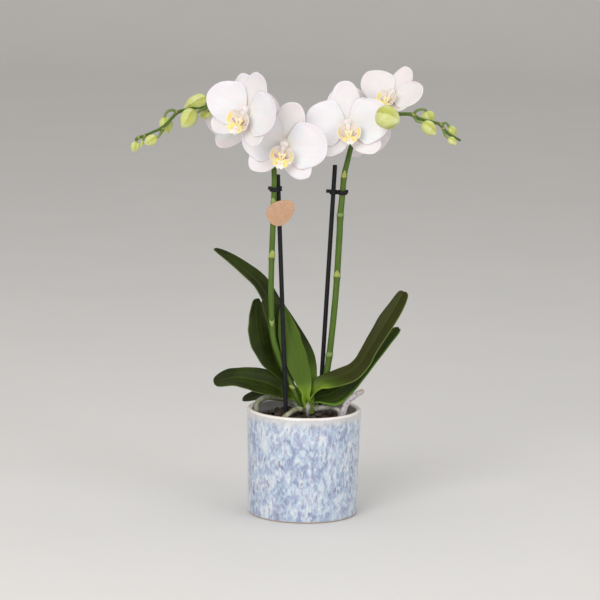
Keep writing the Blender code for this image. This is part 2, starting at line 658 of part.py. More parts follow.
def make_bark(neighbours):
    """Bark mix as one body: a filled core with loose chips half sunk in its top."""
    floor, foot_radius, top_radius = grow_pot_profile(GROW_POT_WALL + GAP)
    edge = (BARK_EDGE_Z - floor) / GROW_POT_HEIGHT
    edge_radius = foot_radius + (top_radius - foot_radius) * edge
    profile = [(0, BARK_MIDDLE_Z), (edge_radius / 2, bark_surface(edge_radius / 2)),
               (edge_radius, BARK_EDGE_Z), (foot_radius, floor), (0, floor)]
    core = turned("bark", profile, BARK_SIDES)
    draw = random.Random(7)
    chips = []
    for number in range(BARK_CHIPS):
        radius = (edge_radius - BARK_CHIP_INSET) * math.sqrt((number + 0.5) / BARK_CHIPS)
        angle = number * math.radians(137.5) + draw.uniform(-0.2, 0.2)
        size = [side * draw.uniform(0.75, 1.2) for side in BARK_CHIP]
        turn = Matrix.Rotation(draw.uniform(0, math.tau), 4, "Z")
        for axis in "XY":
            turn = turn @ Matrix.Rotation(draw.uniform(-BARK_CHIP_TILT, BARK_CHIP_TILT), 4, axis)
        middle = (radius * math.cos(angle), radius * math.sin(angle), bark_surface(radius))
        chips.append(box("chip", middle, size, turn))
    bark = fused("bark", [core, *chips])
    return finish(cut_clear(bark, neighbours), "bark", "bark")


# Crown, leaves and roots


def make_crown():
    heights = (CROWN_FOOT_Z, 0.092, 0.102, 0.109, CROWN_TOP_Z)
    radii = (CROWN_RADIUS * 0.8, CROWN_RADIUS, CROWN_RADIUS, CROWN_RADIUS * 0.75, CROWN_RADIUS * 0.35)
    crown = tube("crown", [(CROWN_X, 0, z) for z in heights], radii, resolution=4)
    return finish(crown, "crown", "crown green")


def leaf_outline(along, widest, blunt):
    """A leaf's half width along its length, as a share of the widest: a narrow stalk and a round tip."""
    turn = math.pi * along ** (math.log(0.5) / math.log(widest))
    return math.sin(turn) ** (1.5 - blunt * along) if 0 < along < 1 else 0.0


def leaf_place(leaf):
    curve = smooth_curve(leaf["route"])
    face = Vector(leaf["face"]).normalized()
    half_width = leaf["half_width"]

    def place(along, across):
        share = min(LEAF_END, along - LEAF_ROW_EASE * math.sin(math.tau * along))
        notch = leaf["notch"] * max(0.0, 1 - 3 * abs(across)) * along ** 6 / route_length(curve)
        here, ahead = at_length(curve, (max(0.0, share - notch), min(1.0, share - notch + 0.01)))
        forward = (ahead - here).normalized()
        side = forward.cross(face).normalized()
        normal = side.cross(forward).normalized()
        outline = leaf_outline(share, leaf["widest"], leaf["blunt"])
        width = max(LEAF_PETIOLE * (1 - share), half_width * outline)
        fold = LEAF_FOLD + LEAF_FOOT_FOLD * max(0.0, 1 - share / LEAF_FOOT)
        rise = fold * width * (math.hypot(across, LEAF_MIDRIB) - LEAF_MIDRIB)
        return here + side * across * width * math.cos(math.atan(fold)) + normal * rise

    return place


def make_leaf(name, neighbours):
    leaf = blade(name, LEAF_ROWS, LEAF_COLUMNS, leaf_place(LEAVES[name]), LEAF_THICKNESS)
    return finish(cut_clear(leaf, neighbours, PLANT_GAP), name, "leaf green")


def make_root(name, neighbours):
    root = ROOTS[name]
    curve = smooth_curve(root["route"])
    count = max(5, round(route_length(curve) / ROOT_STATION))
    shares = [station / count for station in range(count + 1)]
    points = at_length(curve, shares)
    radii = [root["radius"] * (1 + ROOT_WAVE * math.sin(9 * share)) for share in shares]
    if name in ROOT_BLUNT_ENDS:
        radii[ROOT_BLUNT_ENDS[name]] *= ROOT_BLUNT
    return finish(cut_clear(tube(name, points, radii), neighbours, PLANT_GAP), name, "root grey")


# Spikes


def spike_radius(spike, share):
    thinning = spike["foot_radius"] - spike["tip_radius"]
    return spike["foot_radius"] - thinning * max(0.0, 2 * share - 1)


def spike_curve(name):
    return smooth_curve(SPIKES[name]["route"])


def make_stalk(name):
    """A spike's stalk, swollen at its nodes."""
    spike = SPIKES[name]
    curve = spike_curve(name)
    length = route_length(curve)
    nodes = [share_at_height(curve, height) for height in spike["nodes"]]
    near = NODE_HALF_LENGTH / length
    bend = share_at_height(curve, SPIKE_BEND_HEIGHT)
    straight_count = round(bend * length / SPIKE_STATION)
    bent_count = round((1 - bend) * length / SPIKE_BEND_STATION)
    shares = {bend * station / straight_count for station in range(straight_count)}
    shares |= {bend + (1 - bend) * station / bent_count for station in range(bent_count + 1)}
    shares = {share for share in shares if all(abs(share - node) > 2 * near for node in nodes)}
    shares |= {node + step for node in nodes for step in (-near, 0, near)}
    shares = sorted(shares)
    radii = [spike_radius(spike, share) * (1 + NODE_SWELLING * (share in nodes)) for share in shares]
    return tube(name, at_length(curve, shares), radii)


def make_scale(name, height, side):
    """The small pointed scale that stands above a node and wraps half the stalk."""
    spike = SPIKES[name]
    curve = spike_curve(name)
    share = share_at_height(curve, height)
    radius = spike_radius(spike, share)

    def place(along, across):
        here = at_length(curve, (share + along * SCALE_HEIGHT / route_length(curve),))[0]
        half_wrap = SCALE_WRAP * (1.03 - along) ** 0.6
        angle = math.radians(side + across * half_wrap)
        out = radius * (1.02 + SCALE_BULGE * math.sin(math.pi * min(1.0, 1.3 * along)))
        return here + Vector((math.cos(angle), math.sin(angle), 0)) * out

    return blade("scale", 2, 3, place, SCALE_THICKNESS)


def make_bud(bud):
    """A bud and its stalk: an egg with three faint ridges, narrower toward its tip."""
    foot = Vector(bud["foot"])
    tip = Vector(bud["tip"])
    stalk = [Vector(point) for point in bud["stalk"]] + [foot.lerp(tip, BUD_STALK_DEPTH)]
    mesh = bmesh.new()
    bmesh.ops.create_uvsphere(mesh, u_segments=BUD_ROUND, v_segments=BUD_ALONG, radius=1)
    for vertex in mesh.verts:
        x, y, z = vertex.co
        ridged = 1 + BUD_RIDGE * math.cos(3 * math.atan2(y, x))
        width = (1 - BUD_TAPER * z) * ridged * bud["width"] / 2
        vertex.co = (x * width, y * width, z * (tip - foot).length / 2)
    place = Matrix.Translation((foot + tip) / 2) @ UP.rotation_difference(tip - foot).to_matrix().to_4x4()
    bmesh.ops.transform(mesh, verts=mesh.verts, matrix=place)
    data = bpy.data.meshes.new("bud")
    mesh.to_mesh(data)
    mesh.free()
    return [tube("bud stalk", stalk, [BUD_STALK_RADIUS] * len(stalk), resolution=1), new_object("bud", data)]


def make_flower_stalk(bloom):
    """The stalk from the spike to the back of a bloom, ending a gap short of it."""
    frame = bloom_frame(bloom)
    start = Vector(bloom["start"])
    back = frame @ Vector((0, 0, -HUB_BACK - HUB[2] - GAP / bloom["size"]))
    straight_back = (back - frame.translation).normalized()
    bend = back + straight_back * (back - start).length * FLOWER_STALK_BEND
    curve = []
    for step in range(FLOWER_STALK_STEPS + 1):
        share = step / FLOWER_STALK_STEPS
        curve.append(start.lerp(bend, share).lerp(bend.lerp(back, share), share))
    return tube("flower stalk", curve, [FLOWER_STALK_RADIUS] * len(curve), resolution=1)


def make_spike(name, neighbours):
    pieces = [make_stalk(name)]
    for number, height in enumerate(SPIKES[name]["nodes"]):
        pieces.append(make_scale(name, height, SCALE_SIDES[number % 2]))
    for bud in BUDS[name]:
        pieces += make_bud(bud)
    for bloom in BLOOMS.values():
        if bloom["spike"] == name:
            pieces.append(make_flower_stalk(bloom))
    return finish(cut_clear(fused(name, pieces), neighbours), name, "stalk green")


# Blooms


def bloom_frame(bloom):
    """Bloom to world: x to the right of someone who faces the bloom, y up it, z out of its face."""
    turn = Matrix.Rotation(math.radians(-bloom["turn"]), 4, "Z")
    tip = Matrix.Rotation(math.radians(-bloom["tip"]), 4, "X")
    upright = Matrix.Rotation(math.radians(90), 4, "X")
    lean = Matrix.Rotation(math.radians(-bloom["lean"]), 4, "Z")
    return Matrix.Translation(bloom["middle"]) @ turn @ tip @ upright @ lean @ Matrix.Scale(bloom["size"], 4)


def tepal_place(tepal, cup):
    """Maps along and across to a point of the bloom: a rounded blade on a narrow claw."""
    angle = math.radians(tepal["angle"])
    out = Vector((math.sin(angle), math.cos(angle), 0))
    side = Vector((math.cos(angle), -math.sin(angle), 0))
    bowl = math.tan(math.radians(cup)) / CUP_REACH

    def place(along, across):
        corner = 1 - math.sqrt(1 - (TEPAL_CORNER * across) ** 2)
        end = tepal["length"] * (1 - tepal["roundness"] * corner)
        reach = TEPAL_ROOT + (end - TEPAL_ROOT) * along
        opening = math.sin(math.pi / 2 * min(along / tepal["widest"], 1)) ** 0.8
        past = max(0.0, (along - tepal["widest"]) / (1 - tepal["widest"]))
        half = CLAW + (tepal["half_width"] - CLAW) * opening * (1 - TEPAL_CLOSE * past * past)
        point = out * reach + side * half * across
        height = tepal["layer"] + bowl * point.length_squared - TEPAL_ARCH * half * across * across
        return point + UP * height

    return place


def make_bloom(name):
    """Three sepals behind two broad petals, with the column at the middle."""
    bloom = BLOOMS[name]
    pieces = [ellipsoid("hub", (0, 0, -HUB_BACK), HUB, around=7, along=5),
              ellipsoid("column", COLUMN_MIDDLE, COLUMN, around=7, along=4)]
    for tepal in TEPALS:
        place = tepal_place(tepal, bloom["cup"])
        pieces.append(blade("tepal", tepal["rows"], tepal["columns"], place, TEPAL_THICKNESS))
    flower = fused(name, pieces)
    flower.data.transform(bloom_frame(bloom))
    return finish(flower, name, "white petal")


def bowl_place(along, across):
    """The lip's bowl: across runs round it from the end of one side lobe to the end of the other."""
    angle = across * BOWL_REACH
    notch = NOTCH_DEPTH * math.exp(-(((abs(angle) - NOTCH_AT) / NOTCH_WIDTH) ** 2))
    end = 1 - 0.20 * max(0.0, (abs(angle) - 110) / (BOWL_REACH - 110)) ** 2
    radius = BOWL_INNER_RADIUS + (BOWL_RADIUS * (1 - notch) * end - BOWL_INNER_RADIUS) * along
    x = BOWL_MIDDLE[0] + radius * math.sin(math.radians(angle))
    y = BOWL_MIDDLE[1] - radius * math.cos(math.radians(angle))
    return Vector((x, y, BOWL_FLOOR + BOWL_DEPTH * along ** 2))


def middle_lobe_place(along, across):
    """The middle lobe: a trowel that reaches forward and down."""
    span_start, span_end = MIDDLE_LOBE_SPAN
    wave = math.sin(math.pi * (span_start + (span_end - span_start) * along))
    half = MIDDLE_LOBE_NECK + MIDDLE_LOBE_HALF_WIDTH * wave ** 1.1
    curl = MIDDLE_LOBE_CURL * across * across
    start_y, start_z = MIDDLE_LOBE_FROM
    end_y, end_z = MIDDLE_LOBE_TO
    y = start_y + (end_y - start_y) * along + curl
    z = start_z + (end_z - start_z) * math.sin(math.pi / 2 * along) + curl
    return Vector((half * across, y, z))


def make_lip(name, neighbours):
    bloom = BLOOMS[name]
    pieces = [ellipsoid("foot", LIP_FOOT_MIDDLE, LIP_FOOT, around=6, along=5),
              blade("bowl", 2, 12, bowl_place, LIP_THICKNESS),
              blade("middle lobe", 3, 4, middle_lobe_place, LIP_THICKNESS)]
    lip = fused(name + "_lip", pieces)
    lip.data.transform(bloom_frame(bloom))
    return finish(cut_clear(lip, neighbours), name + "_lip", "yellow lip")


# Stakes, clips and tag


def stake_point(name, z):
    low = Vector(STAKES[name]["low"])
    high = Vector(STAKES[name]["high"])
    return low.lerp(high, (z - low.z) / (high.z - low.z))


def make_stake(name):
    foot = stake_point(name, STAKE_FOOT_Z)
    top = Vector(STAKES[name]["high"])
    turn = UP.rotation_difference(top - foot).to_matrix().to_4x4()
    stake = cylinder(name, (foot + top) / 2, STAKE_RADIUS, (top - foot).length, STAKE_SIDES, turn)
    return finish(stake, name, "black plastic")


def make_clip(name, neighbours):
    """Rings round the spike and the stake, joined by a bar, with two ears to squeeze."""
    clip = CLIPS[name]
    z = clip["z"]
    curve = spike_curve(clip["spike"])
    stem = at_length(curve, (share_at_height(curve, z),))[0]
    rod = stake_point(clip["stake"], z)
    stem_radius = SPIKES[clip["spike"]]["foot_radius"] + GAP + CLIP_WALL
    rod_radius = STAKE_RADIUS + GAP + CLIP_WALL
    pieces = [cylinder("stem ring", stem, stem_radius, CLIP_HEIGHT, CLIP_SIDES),
              cylinder("stake ring", rod, rod_radius, CLIP_HEIGHT * 0.98, CLIP_SIDES)]
    along = rod - stem
    turn = Matrix.Rotation(math.atan2(along.y, along.x), 4, "Z")
    pieces.append(box("bar", (stem + rod) / 2, (along.length, CLIP_WALL * 1.5, CLIP_HEIGHT * 0.9), turn))
    for ear_x, ear_y in clip["ears"]:
        middle = stem + Vector((ear_x - math.copysign(CLIP_EAR / 2, ear_x), ear_y, CLIP_EAR_RISE))
        pieces.append(box("ear", middle, (CLIP_EAR, CLIP_WALL, CLIP_HEIGHT * 0.8)))
    return finish(cut_clear(fused(name, pieces), neighbours), name, "black plastic")


def make_tag():
    """A blank card, egg-shaped, flat against the front of the left spike."""
    lean = math.radians(TAG_LEAN)
    curve = bpy.data.curves.new("tag", "CURVE")
    curve.dimensions = "2D"
    curve.fill_mode = "BOTH"
    curve.extrude = TAG_THICKNESS / 2
    spline = curve.splines.new("POLY")
    spline.points.add(TAG_POINTS - 1)
    spline.use_cyclic_u = True
    for number, point in enumerate(spline.points):
        angle = math.tau * number / TAG_POINTS
        along = TAG_LENGTH / 2 * math.cos(angle)
        across = TAG_WIDTH / 2 * math.sin(angle) * (1 - TAG_EGG * math.cos(angle))
        point.co = (along * math.cos(lean) - across * math.sin(lean),
                    along * math.sin(lean) + across * math.cos(lean), 0, 1)
    curve_at_tag = spike_curve("spike_left")
    stem = at_length(curve_at_tag, (share_at_height(curve_at_tag, TAG_MIDDLE[1]),))[0]
    front = stem.y - SPIKES["spike_left"]["foot_radius"] * (1 + 2 * NODE_SWELLING) - SCALE_THICKNESS / 2
    tag = new_object("tag", curve)
    tag.rotation_euler = (math.radians(90), 0, 0)
    tag.location = (TAG_MIDDLE[0], front - GAP - TAG_THICKNESS / 2, TAG_MIDDLE[1])
    bpy.context.view_layer.update()
    return finish(facing_out(baked(tag)), "tag", "kraft card")


def build():
    clear_scene()
    new_collection("moth orchid")
    make_pot()
    make_grow_pot()
    crown = make_crown()
    stakes = [make_stake(name) for name in STAKES]
    blooms = [make_bloom(name) for name in BLOOMS]
    for bloom in blooms:
        make_lip(bloom.name, [bloom])
    spikes = [make_spike(name, [crown]) for name in SPIKES]
    roots = []
    for name in ROOTS:
        roots.append(make_root(name, [crown, *spikes, *roots]))
    leaves = []
    for name in LEAVES:
        leaves.append(make_leaf(name, [crown, *spikes, *roots, *leaves]))
    make_bark([crown, *stakes, *roots, *spikes])
    for name in CLIPS:
        make_clip(name, [*spikes, *stakes])
    make_tag()


build()
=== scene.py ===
"""The looks of a potted moth orchid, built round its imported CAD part.

Metres, +Z up. The origin is the middle of the pot's flat foot, and the blooms face -Y. Each CAD node but the
culture pot gets a finer piece in its place, made from the part's routes and outlines.
"""

import math
from functools import cache

import bpy
import numpy as np
from mathutils import Matrix, Vector


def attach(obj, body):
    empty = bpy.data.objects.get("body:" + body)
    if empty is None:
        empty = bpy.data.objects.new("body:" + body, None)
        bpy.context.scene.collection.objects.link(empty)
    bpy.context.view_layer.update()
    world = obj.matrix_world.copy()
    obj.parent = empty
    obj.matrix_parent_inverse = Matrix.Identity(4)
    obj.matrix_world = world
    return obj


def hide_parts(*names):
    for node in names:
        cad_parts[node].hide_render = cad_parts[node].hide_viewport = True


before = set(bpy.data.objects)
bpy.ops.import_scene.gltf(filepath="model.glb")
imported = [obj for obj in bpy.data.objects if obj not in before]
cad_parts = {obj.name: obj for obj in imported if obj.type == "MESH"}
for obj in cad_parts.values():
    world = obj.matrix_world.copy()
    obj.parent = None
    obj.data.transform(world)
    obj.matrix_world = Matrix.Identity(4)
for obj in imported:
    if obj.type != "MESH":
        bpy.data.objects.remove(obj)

UP = np.array((0.0, 0.0, 1.0))
GAP = 0.0003  # between pieces that touch

# Glazed pot
POT_HEIGHT = 0.098
POT_TOP_RADIUS = 0.0525
POT_FOOT_RADIUS = 0.0500
POT_WALL = 0.005
POT_FLOOR = 0.006
POT_FOOT_EDGE = 0.003
POT_INNER_CORNER = 0.006

# Clear culture pot inside it, and the bark in that
GROW_POT_TOP_RADIUS = 0.0445
BARK_EDGE_Z = 0.0880
BARK_MIDDLE_Z = 0.0930

# Crown: the short stem that leaves, roots and spikes grow from
CROWN_X = 0.0033
CROWN_FOOT_Z = 0.0800
CROWN_TOP_Z = 0.1160
CROWN_RADIUS = 0.0070
CROWN_HEIGHTS = (CROWN_FOOT_Z, 0.0920, 0.1020, 0.1090, CROWN_TOP_Z)
CROWN_WIDTHS = (0.8, 1.0, 1.0, 0.75, 0.35)  # at these heights, as shares of its radius

# Leaves: the midrib's route from the crown to the tip, the half width, where along it is widest, how blunt
# its tip is and which way its upper side faces. Left and right say how many times as wide as the plain
# outline that side is at some places along it, notch how deep the tip's notch is, foot, young and olive how
# it is coloured, and rim how strong the painted highlight along its edges is. What a leaf doesn't say is as
# in PLAIN_LEAF.
PLAIN_EDGE = ((0.5, 1.0),)
PLAIN_LEAF = dict(left=PLAIN_EDGE, right=PLAIN_EDGE, notch=0.0, foot=0.26, young=0.0, olive=0.0, rim=0.0)
LEAF_PETIOLE = 0.0042
LEAF_FOLD = 0.30
LEAF_FOOT = 0.18  # the share of the leaf that is folded up round the crown
LEAF_FOOT_FOLD = 0.75
LEAVES = {
    "leaf_middle": dict(
        route=[(0.0020, -0.0056, 0.1050), (0.0012, -0.0080, 0.1085), (0.0009, -0.0075, 0.1165),
               (-0.0016, -0.0050, 0.1282), (-0.0075, -0.0020, 0.1452), (-0.0133, 0.0015, 0.1631),
               (-0.0182, 0.0060, 0.1798), (-0.0212, 0.0090, 0.1937)],
        half_width=0.0122, widest=0.40, blunt=0.8, face=(0.1, -0.96, 0.2), young=1.0,
        left=((0.04, 1.45), (0.12, 0.95), (0.30, 0.95), (0.42, 1.00), (0.55, 1.25), (0.75, 1.40),
              (0.92, 1.55)),
        right=((0.04, 1.35), (0.15, 0.74), (0.32, 0.70), (0.50, 0.80), (0.75, 0.98), (0.88, 1.05),
               (0.97, 0.75))),
    "leaf_right": dict(
        route=[(0.0062, -0.0035, 0.1050), (0.0114, -0.0060, 0.1165), (0.0177, -0.0065, 0.1228),
               (0.0258, -0.0080, 0.1265), (0.0340, -0.0100, 0.1303), (0.0439, -0.0110, 0.1354),
               (0.0519, -0.0110, 0.1434), (0.0572, -0.0100, 0.1526), (0.0634, -0.0090, 0.1632),
               (0.0722, -0.0070, 0.1783), (0.0811, -0.0030, 0.1926), (0.0890, 0.0010, 0.2074)],
        half_width=0.0150, widest=0.38, blunt=1.25, face=(-0.42, -0.55, 0.72), olive=1.0, foot=0.24,
        left=((0.05, 1.30), (0.22, 0.66), (0.36, 0.56), (0.50, 0.60), (0.65, 0.74), (0.80, 0.92),
              (0.95, 0.82)),
        right=((0.06, 1.70), (0.14, 1.05), (0.26, 1.10), (0.37, 1.32), (0.50, 1.00), (0.60, 1.10),
               (0.74, 1.36),
               (0.90, 1.42))),
    "leaf_low_right": dict(
        route=[(0.0060, 0.0005, 0.1010), (0.0144, -0.0010, 0.1067), (0.0234, -0.0010, 0.1111),
               (0.0334, 0.0010, 0.1160), (0.0434, 0.0040, 0.1222), (0.0525, 0.0080, 0.1305),
               (0.0615, 0.0110, 0.1413), (0.0705, 0.0140, 0.1526), (0.0786, 0.0170, 0.1621),
               (0.0863, 0.0190, 0.1698)],
        half_width=0.0150, widest=0.36, blunt=1.15, face=(-0.3, -0.62, 0.72), young=0.25, rim=1.0,
        foot=0.09,
        right=((0.12, 1.90), (0.22, 1.75), (0.34, 1.00), (0.47, 0.66), (0.64, 0.62), (0.81, 0.74),
               (0.96, 0.95))),
    "leaf_back_left": dict(
        route=[(0.0055, 0.0055, 0.1060), (0.0062, 0.0095, 0.1246), (0.0018, 0.0120, 0.1402),
               (-0.0091, 0.0160, 0.1572), (-0.0214, 0.0205, 0.1749), (-0.0328, 0.0245, 0.1889),
               (-0.0437, 0.0290, 0.2070), (-0.0569, 0.0310, 0.2187), (-0.0714, 0.0340, 0.2291),
               (-0.0859, 0.0360, 0.2379)],
        half_width=0.0140, widest=0.50, blunt=1.0, face=(0.55, -0.5, 0.67),
        left=((0.30, 1.00), (0.46, 0.80), (0.60, 0.80), (0.75, 1.00)),
        right=((0.10, 1.50), (0.18, 1.45), (0.28, 1.12), (0.40, 0.92), (0.60, 1.00))),
    "leaf_notched": dict(
        route=[(0.0000, 0.0030, 0.1030), (-0.0106, 0.0045, 0.1150), (-0.0200, 0.0055, 0.1277),
               (-0.0267, 0.0068, 0.1404), (-0.0311, 0.0080, 0.1558), (-0.0352, 0.0095, 0.1747),
               (-0.0390, 0.0112, 0.1854), (-0.0420, 0.0132, 0.1970)],
        half_width=0.0212, widest=0.62, blunt=1.36, face=(0.32, -0.90, 0.28), notch=0.0045,
        left=((0.30, 0.70), (0.48, 0.94), (0.65, 1.10), (0.80, 1.20), (0.90, 1.02), (0.98, 0.55)),
        right=((0.60, 1.00), (0.85, 0.98), (0.96, 1.02))),
    "leaf_left": dict(
        route=[(-0.0012, 0.0000, 0.1010), (-0.0123, 0.0010, 0.1077), (-0.0243, 0.0000, 0.1151),
               (-0.0354, -0.0020, 0.1204), (-0.0446, -0.0040, 0.1230), (-0.0555, -0.0080, 0.1259),
               (-0.0683, -0.0120, 0.1264), (-0.0827, -0.0160, 0.1222)],
        half_width=0.0150, widest=0.50, blunt=1.15, face=(0.1, -0.75, 0.65),
        left=((0.10, 0.90), (0.22, 0.85), (0.35, 0.90), (0.50, 1.02), (0.66, 1.08), (0.90, 1.00)),
        right=((0.30, 0.90), (0.50, 0.84), (0.68, 0.78), (0.90, 0.90))),
    "leaf_low_left": dict(
        route=[(0.0005, 0.0045, 0.0975), (-0.0100, 0.0110, 0.1030), (-0.0240, 0.0160, 0.1050),
               (-0.0400, 0.0210, 0.1040), (-0.0570, 0.0250, 0.0990)],
        half_width=0.0110, widest=0.50, blunt=1.1, face=(-0.05, -0.45, 0.89)),
}

# Aerial roots: route, radius, how many times as thick at either end, how silver and how dark past its middle
PLAIN_ROOT = dict(silver=0.3, dark_end=0.0)
ROOTS = {
    "root_left_arch": dict(
        route=[(0.0000, 0.0040, 0.0970), (-0.0130, 0.0080, 0.1016), (-0.0250, 0.0080, 0.1050),
               (-0.0360, 0.0070, 0.1048), (-0.0425, 0.0060, 0.1006), (-0.0442, 0.0055, 0.0925)],
        radius=0.0021, thick=(1.15, 1.22), silver=0.45),
    "root_front": dict(
        route=[(0.0015, -0.0040, 0.0960), (-0.0070, -0.0150, 0.0990), (-0.0130, -0.0250, 0.0975),
               (-0.0190, -0.0320, 0.0930), (-0.0205, -0.0345, 0.0840)],
        radius=0.0022, thick=(1.10, 1.10)),
    "root_stub": dict(
        route=[(0.0033, -0.0050, 0.1010), (0.0034, -0.0110, 0.1010), (0.0033, -0.0150, 0.0980),
               (0.0032, -0.0160, 0.0920), (0.0032, -0.0160, 0.0860)],
        radius=0.0021, thick=(1.25, 0.85), silver=0.7, dark_end=0.8),
    "root_right": dict(
        route=[(0.0072, -0.0025, 0.0965), (0.0180, -0.0090, 0.1000), (0.0270, -0.0120, 0.1010),
               (0.0330, -0.0150, 0.0970), (0.0345, -0.0160, 0.0840)],
        radius=0.0022, thick=(1.10, 1.35), silver=0.55),
    "root_silver": dict(
        route=[(0.0325, -0.0215, 0.0840), (0.0345, -0.0215, 0.0950), (0.0385, -0.0200, 0.1060),
               (0.0450, -0.0190, 0.1130), (0.0525, -0.0180, 0.1175)],
        radius=0.0031, thick=(1.15, 0.72), silver=0.95),
}
ROOT_WAVE = 0.08

# Stakes
STAKE_RADIUS = 0.00205
STAKES = {
    "stake_left": dict(low=(-0.0167, -0.0105, 0.0960), high=(-0.0280, -0.0035, 0.3135)),
    "stake_right": dict(low=(0.0146, 0.0120, 0.0996), high=(0.0238, 0.0100, 0.3215)),
}

# Flower spikes: the stalk's route, its radius at the foot and the tip, and the heights of its nodes
NODE_SWELLING = 0.10
NODE_HALF_LENGTH = 0.0030
SCALE_BULGE = 0.12
SPIKES = {
    "spike_left": dict(
        route=[(0.0000, -0.0030, 0.0975), (-0.0052, -0.0050, 0.1050), (-0.0100, -0.0055, 0.1155),
               (-0.0172, -0.0035, 0.1300), (-0.0244, -0.0055, 0.1475), (-0.0298, -0.0065, 0.1660),
               (-0.0320, -0.0070, 0.1985), (-0.0323, -0.0080, 0.2265), (-0.0318, -0.0085, 0.2545),
               (-0.0312, -0.0085, 0.2820), (-0.0311, -0.0085, 0.2999), (-0.0314, -0.0085, 0.3166),
               (-0.0336, -0.0060, 0.3359), (-0.0385, -0.0010, 0.3516), (-0.0469, 0.0030, 0.3637),
               (-0.0607, 0.0055, 0.3718), (-0.0770, 0.0060, 0.3741), (-0.0924, 0.0040, 0.3727),
               (-0.1013, 0.0020, 0.3726), (-0.1103, -0.0010, 0.3706), (-0.1191, -0.0040, 0.3685),
               (-0.1244, -0.0060, 0.3632), (-0.1296, -0.0090, 0.3575), (-0.1349, -0.0110, 0.3536),
               (-0.1411, -0.0140, 0.3511), (-0.1481, -0.0170, 0.3481), (-0.1534, -0.0190, 0.3465),
               (-0.1557, -0.0200, 0.3443)],
        foot_radius=0.0026, tip_radius=0.0011, nodes=(0.1165, 0.1745, 0.2378, 0.2870)),
    "spike_right": dict(
        route=[(0.0066, 0.0030, 0.0985), (0.0172, 0.0050, 0.1160), (0.0203, 0.0045, 0.1318),
               (0.0221, 0.0050, 0.1458), (0.0241, 0.0050, 0.1660), (0.0257, 0.0055, 0.1860),
               (0.0273, 0.0060, 0.2115), (0.0283, 0.0063, 0.2350), (0.0292, 0.0065, 0.2579),
               (0.0296, 0.0075, 0.2761), (0.0311, 0.0085, 0.2957), (0.0323, 0.0095, 0.3116),
               (0.0354, 0.0110, 0.3260), (0.0380, 0.0120, 0.3371), (0.0432, 0.0125, 0.3497),
               (0.0493, 0.0120, 0.3600), (0.0564, 0.0090, 0.3668), (0.0671, 0.0030, 0.3700),
               (0.0787, -0.0030, 0.3704), (0.0858, -0.0060, 0.3709), (0.0911, -0.0078, 0.3709),
               (0.0948, -0.0090, 0.3691), (0.0984, -0.0095, 0.3674), (0.1038, -0.0100, 0.3658),
               (0.1101, -0.0110, 0.3647), (0.1155, -0.0125, 0.3636), (0.1187, -0.0135, 0.3615),
               (0.1219, -0.0145, 0.3576), (0.1256, -0.0155, 0.3542), (0.1310, -0.0165, 0.3517),
               (0.1355, -0.0175, 0.3493)],
        foot_radius=0.0029, tip_radius=0.0011, nodes=(0.1450, 0.2190, 0.2745, 0.3100)),
}

# Buds: the stalk's points from the spike to the bud, the bud's foot and tip and its width
BUDS = {
    "spike_left": [
        dict(stalk=[(-0.0924, 0.0040, 0.3732), (-0.0934, 0.0060, 0.3779)],
             foot=(-0.0935, 0.0070, 0.3810), tip=(-0.1141, 0.0050, 0.3708), width=0.0135),
        dict(stalk=[(-0.0933, 0.0040, 0.3722), (-0.0985, -0.0010, 0.3704), (-0.1028, -0.0060, 0.3681)],
             foot=(-0.1041, -0.0080, 0.3706), tip=(-0.1148, -0.0180, 0.3566), width=0.0150),
        dict(stalk=[(-0.0914, 0.0040, 0.3718), (-0.0906, 0.0090, 0.3685)],
             foot=(-0.0902, 0.0100, 0.3684), tip=(-0.1002, 0.0130, 0.3629), width=0.0095),
        dict(stalk=[(-0.1200, -0.0043, 0.3685), (-0.1246, -0.0030, 0.3701), (-0.1292, -0.0020, 0.3681)],
             foot=(-0.1314, -0.0010, 0.3634), tip=(-0.1286, 0.0010, 0.3478), width=0.0122),
        dict(stalk=[(-0.1322, -0.0102, 0.3535), (-0.1355, -0.0160, 0.3478)],
             foot=(-0.1376, -0.0190, 0.3468), tip=(-0.1481, -0.0240, 0.3417), width=0.0095),
        dict(stalk=[(-0.1534, -0.0190, 0.3465), (-0.1559, -0.0190, 0.3451)],
             foot=(-0.1555, -0.0200, 0.3425), tip=(-0.1584, -0.0230, 0.3340), width=0.0075),
        dict(stalk=[(-0.1485, -0.0172, 0.3479), (-0.1498, -0.0180, 0.3451)],
             foot=(-0.1496, -0.0180, 0.3446), tip=(-0.1517, -0.0200, 0.3376), width=0.0030),
    ],
    "spike_right": [
        dict(stalk=[(0.0706, 0.0012, 0.3700), (0.0739, -0.0120, 0.3722)],
             foot=(0.0602, -0.0220, 0.3722), tip=(0.0802, -0.0340, 0.3672), width=0.0205),
        dict(stalk=[(0.0929, -0.0084, 0.3706), (0.0965, -0.0070, 0.3744), (0.1020, -0.0040, 0.3752)],
             foot=(0.1053, 0.0000, 0.3733), tip=(0.1087, -0.0020, 0.3618), width=0.0125),
        dict(stalk=[(0.0939, -0.0088, 0.3697), (0.0965, -0.0140, 0.3656)],
             foot=(0.1018, -0.0170, 0.3647), tip=(0.1136, -0.0210, 0.3546), width=0.0118),
        dict(stalk=[(0.1182, -0.0132, 0.3628), (0.1227, -0.0130, 0.3642)],
             foot=(0.1256, -0.0110, 0.3604), tip=(0.1320, -0.0120, 0.3530), width=0.0080),
        dict(stalk=[(0.1205, -0.0142, 0.3593), (0.1219, -0.0180, 0.3539)],
             foot=(0.1250, -0.0200, 0.3515), tip=(0.1322, -0.0230, 0.3461), width=0.0066),
    ],
}
BUD_STALK_RADIUS = 0.0012
FLOWER_STALK_RADIUS = 0.0013
FLOWER_STALK_BEND = 0.55  # how far behind the flower its stalk bends, as a share of the stalk
BUD_TAPER = 0.16
BUD_RIDGE = 0.045

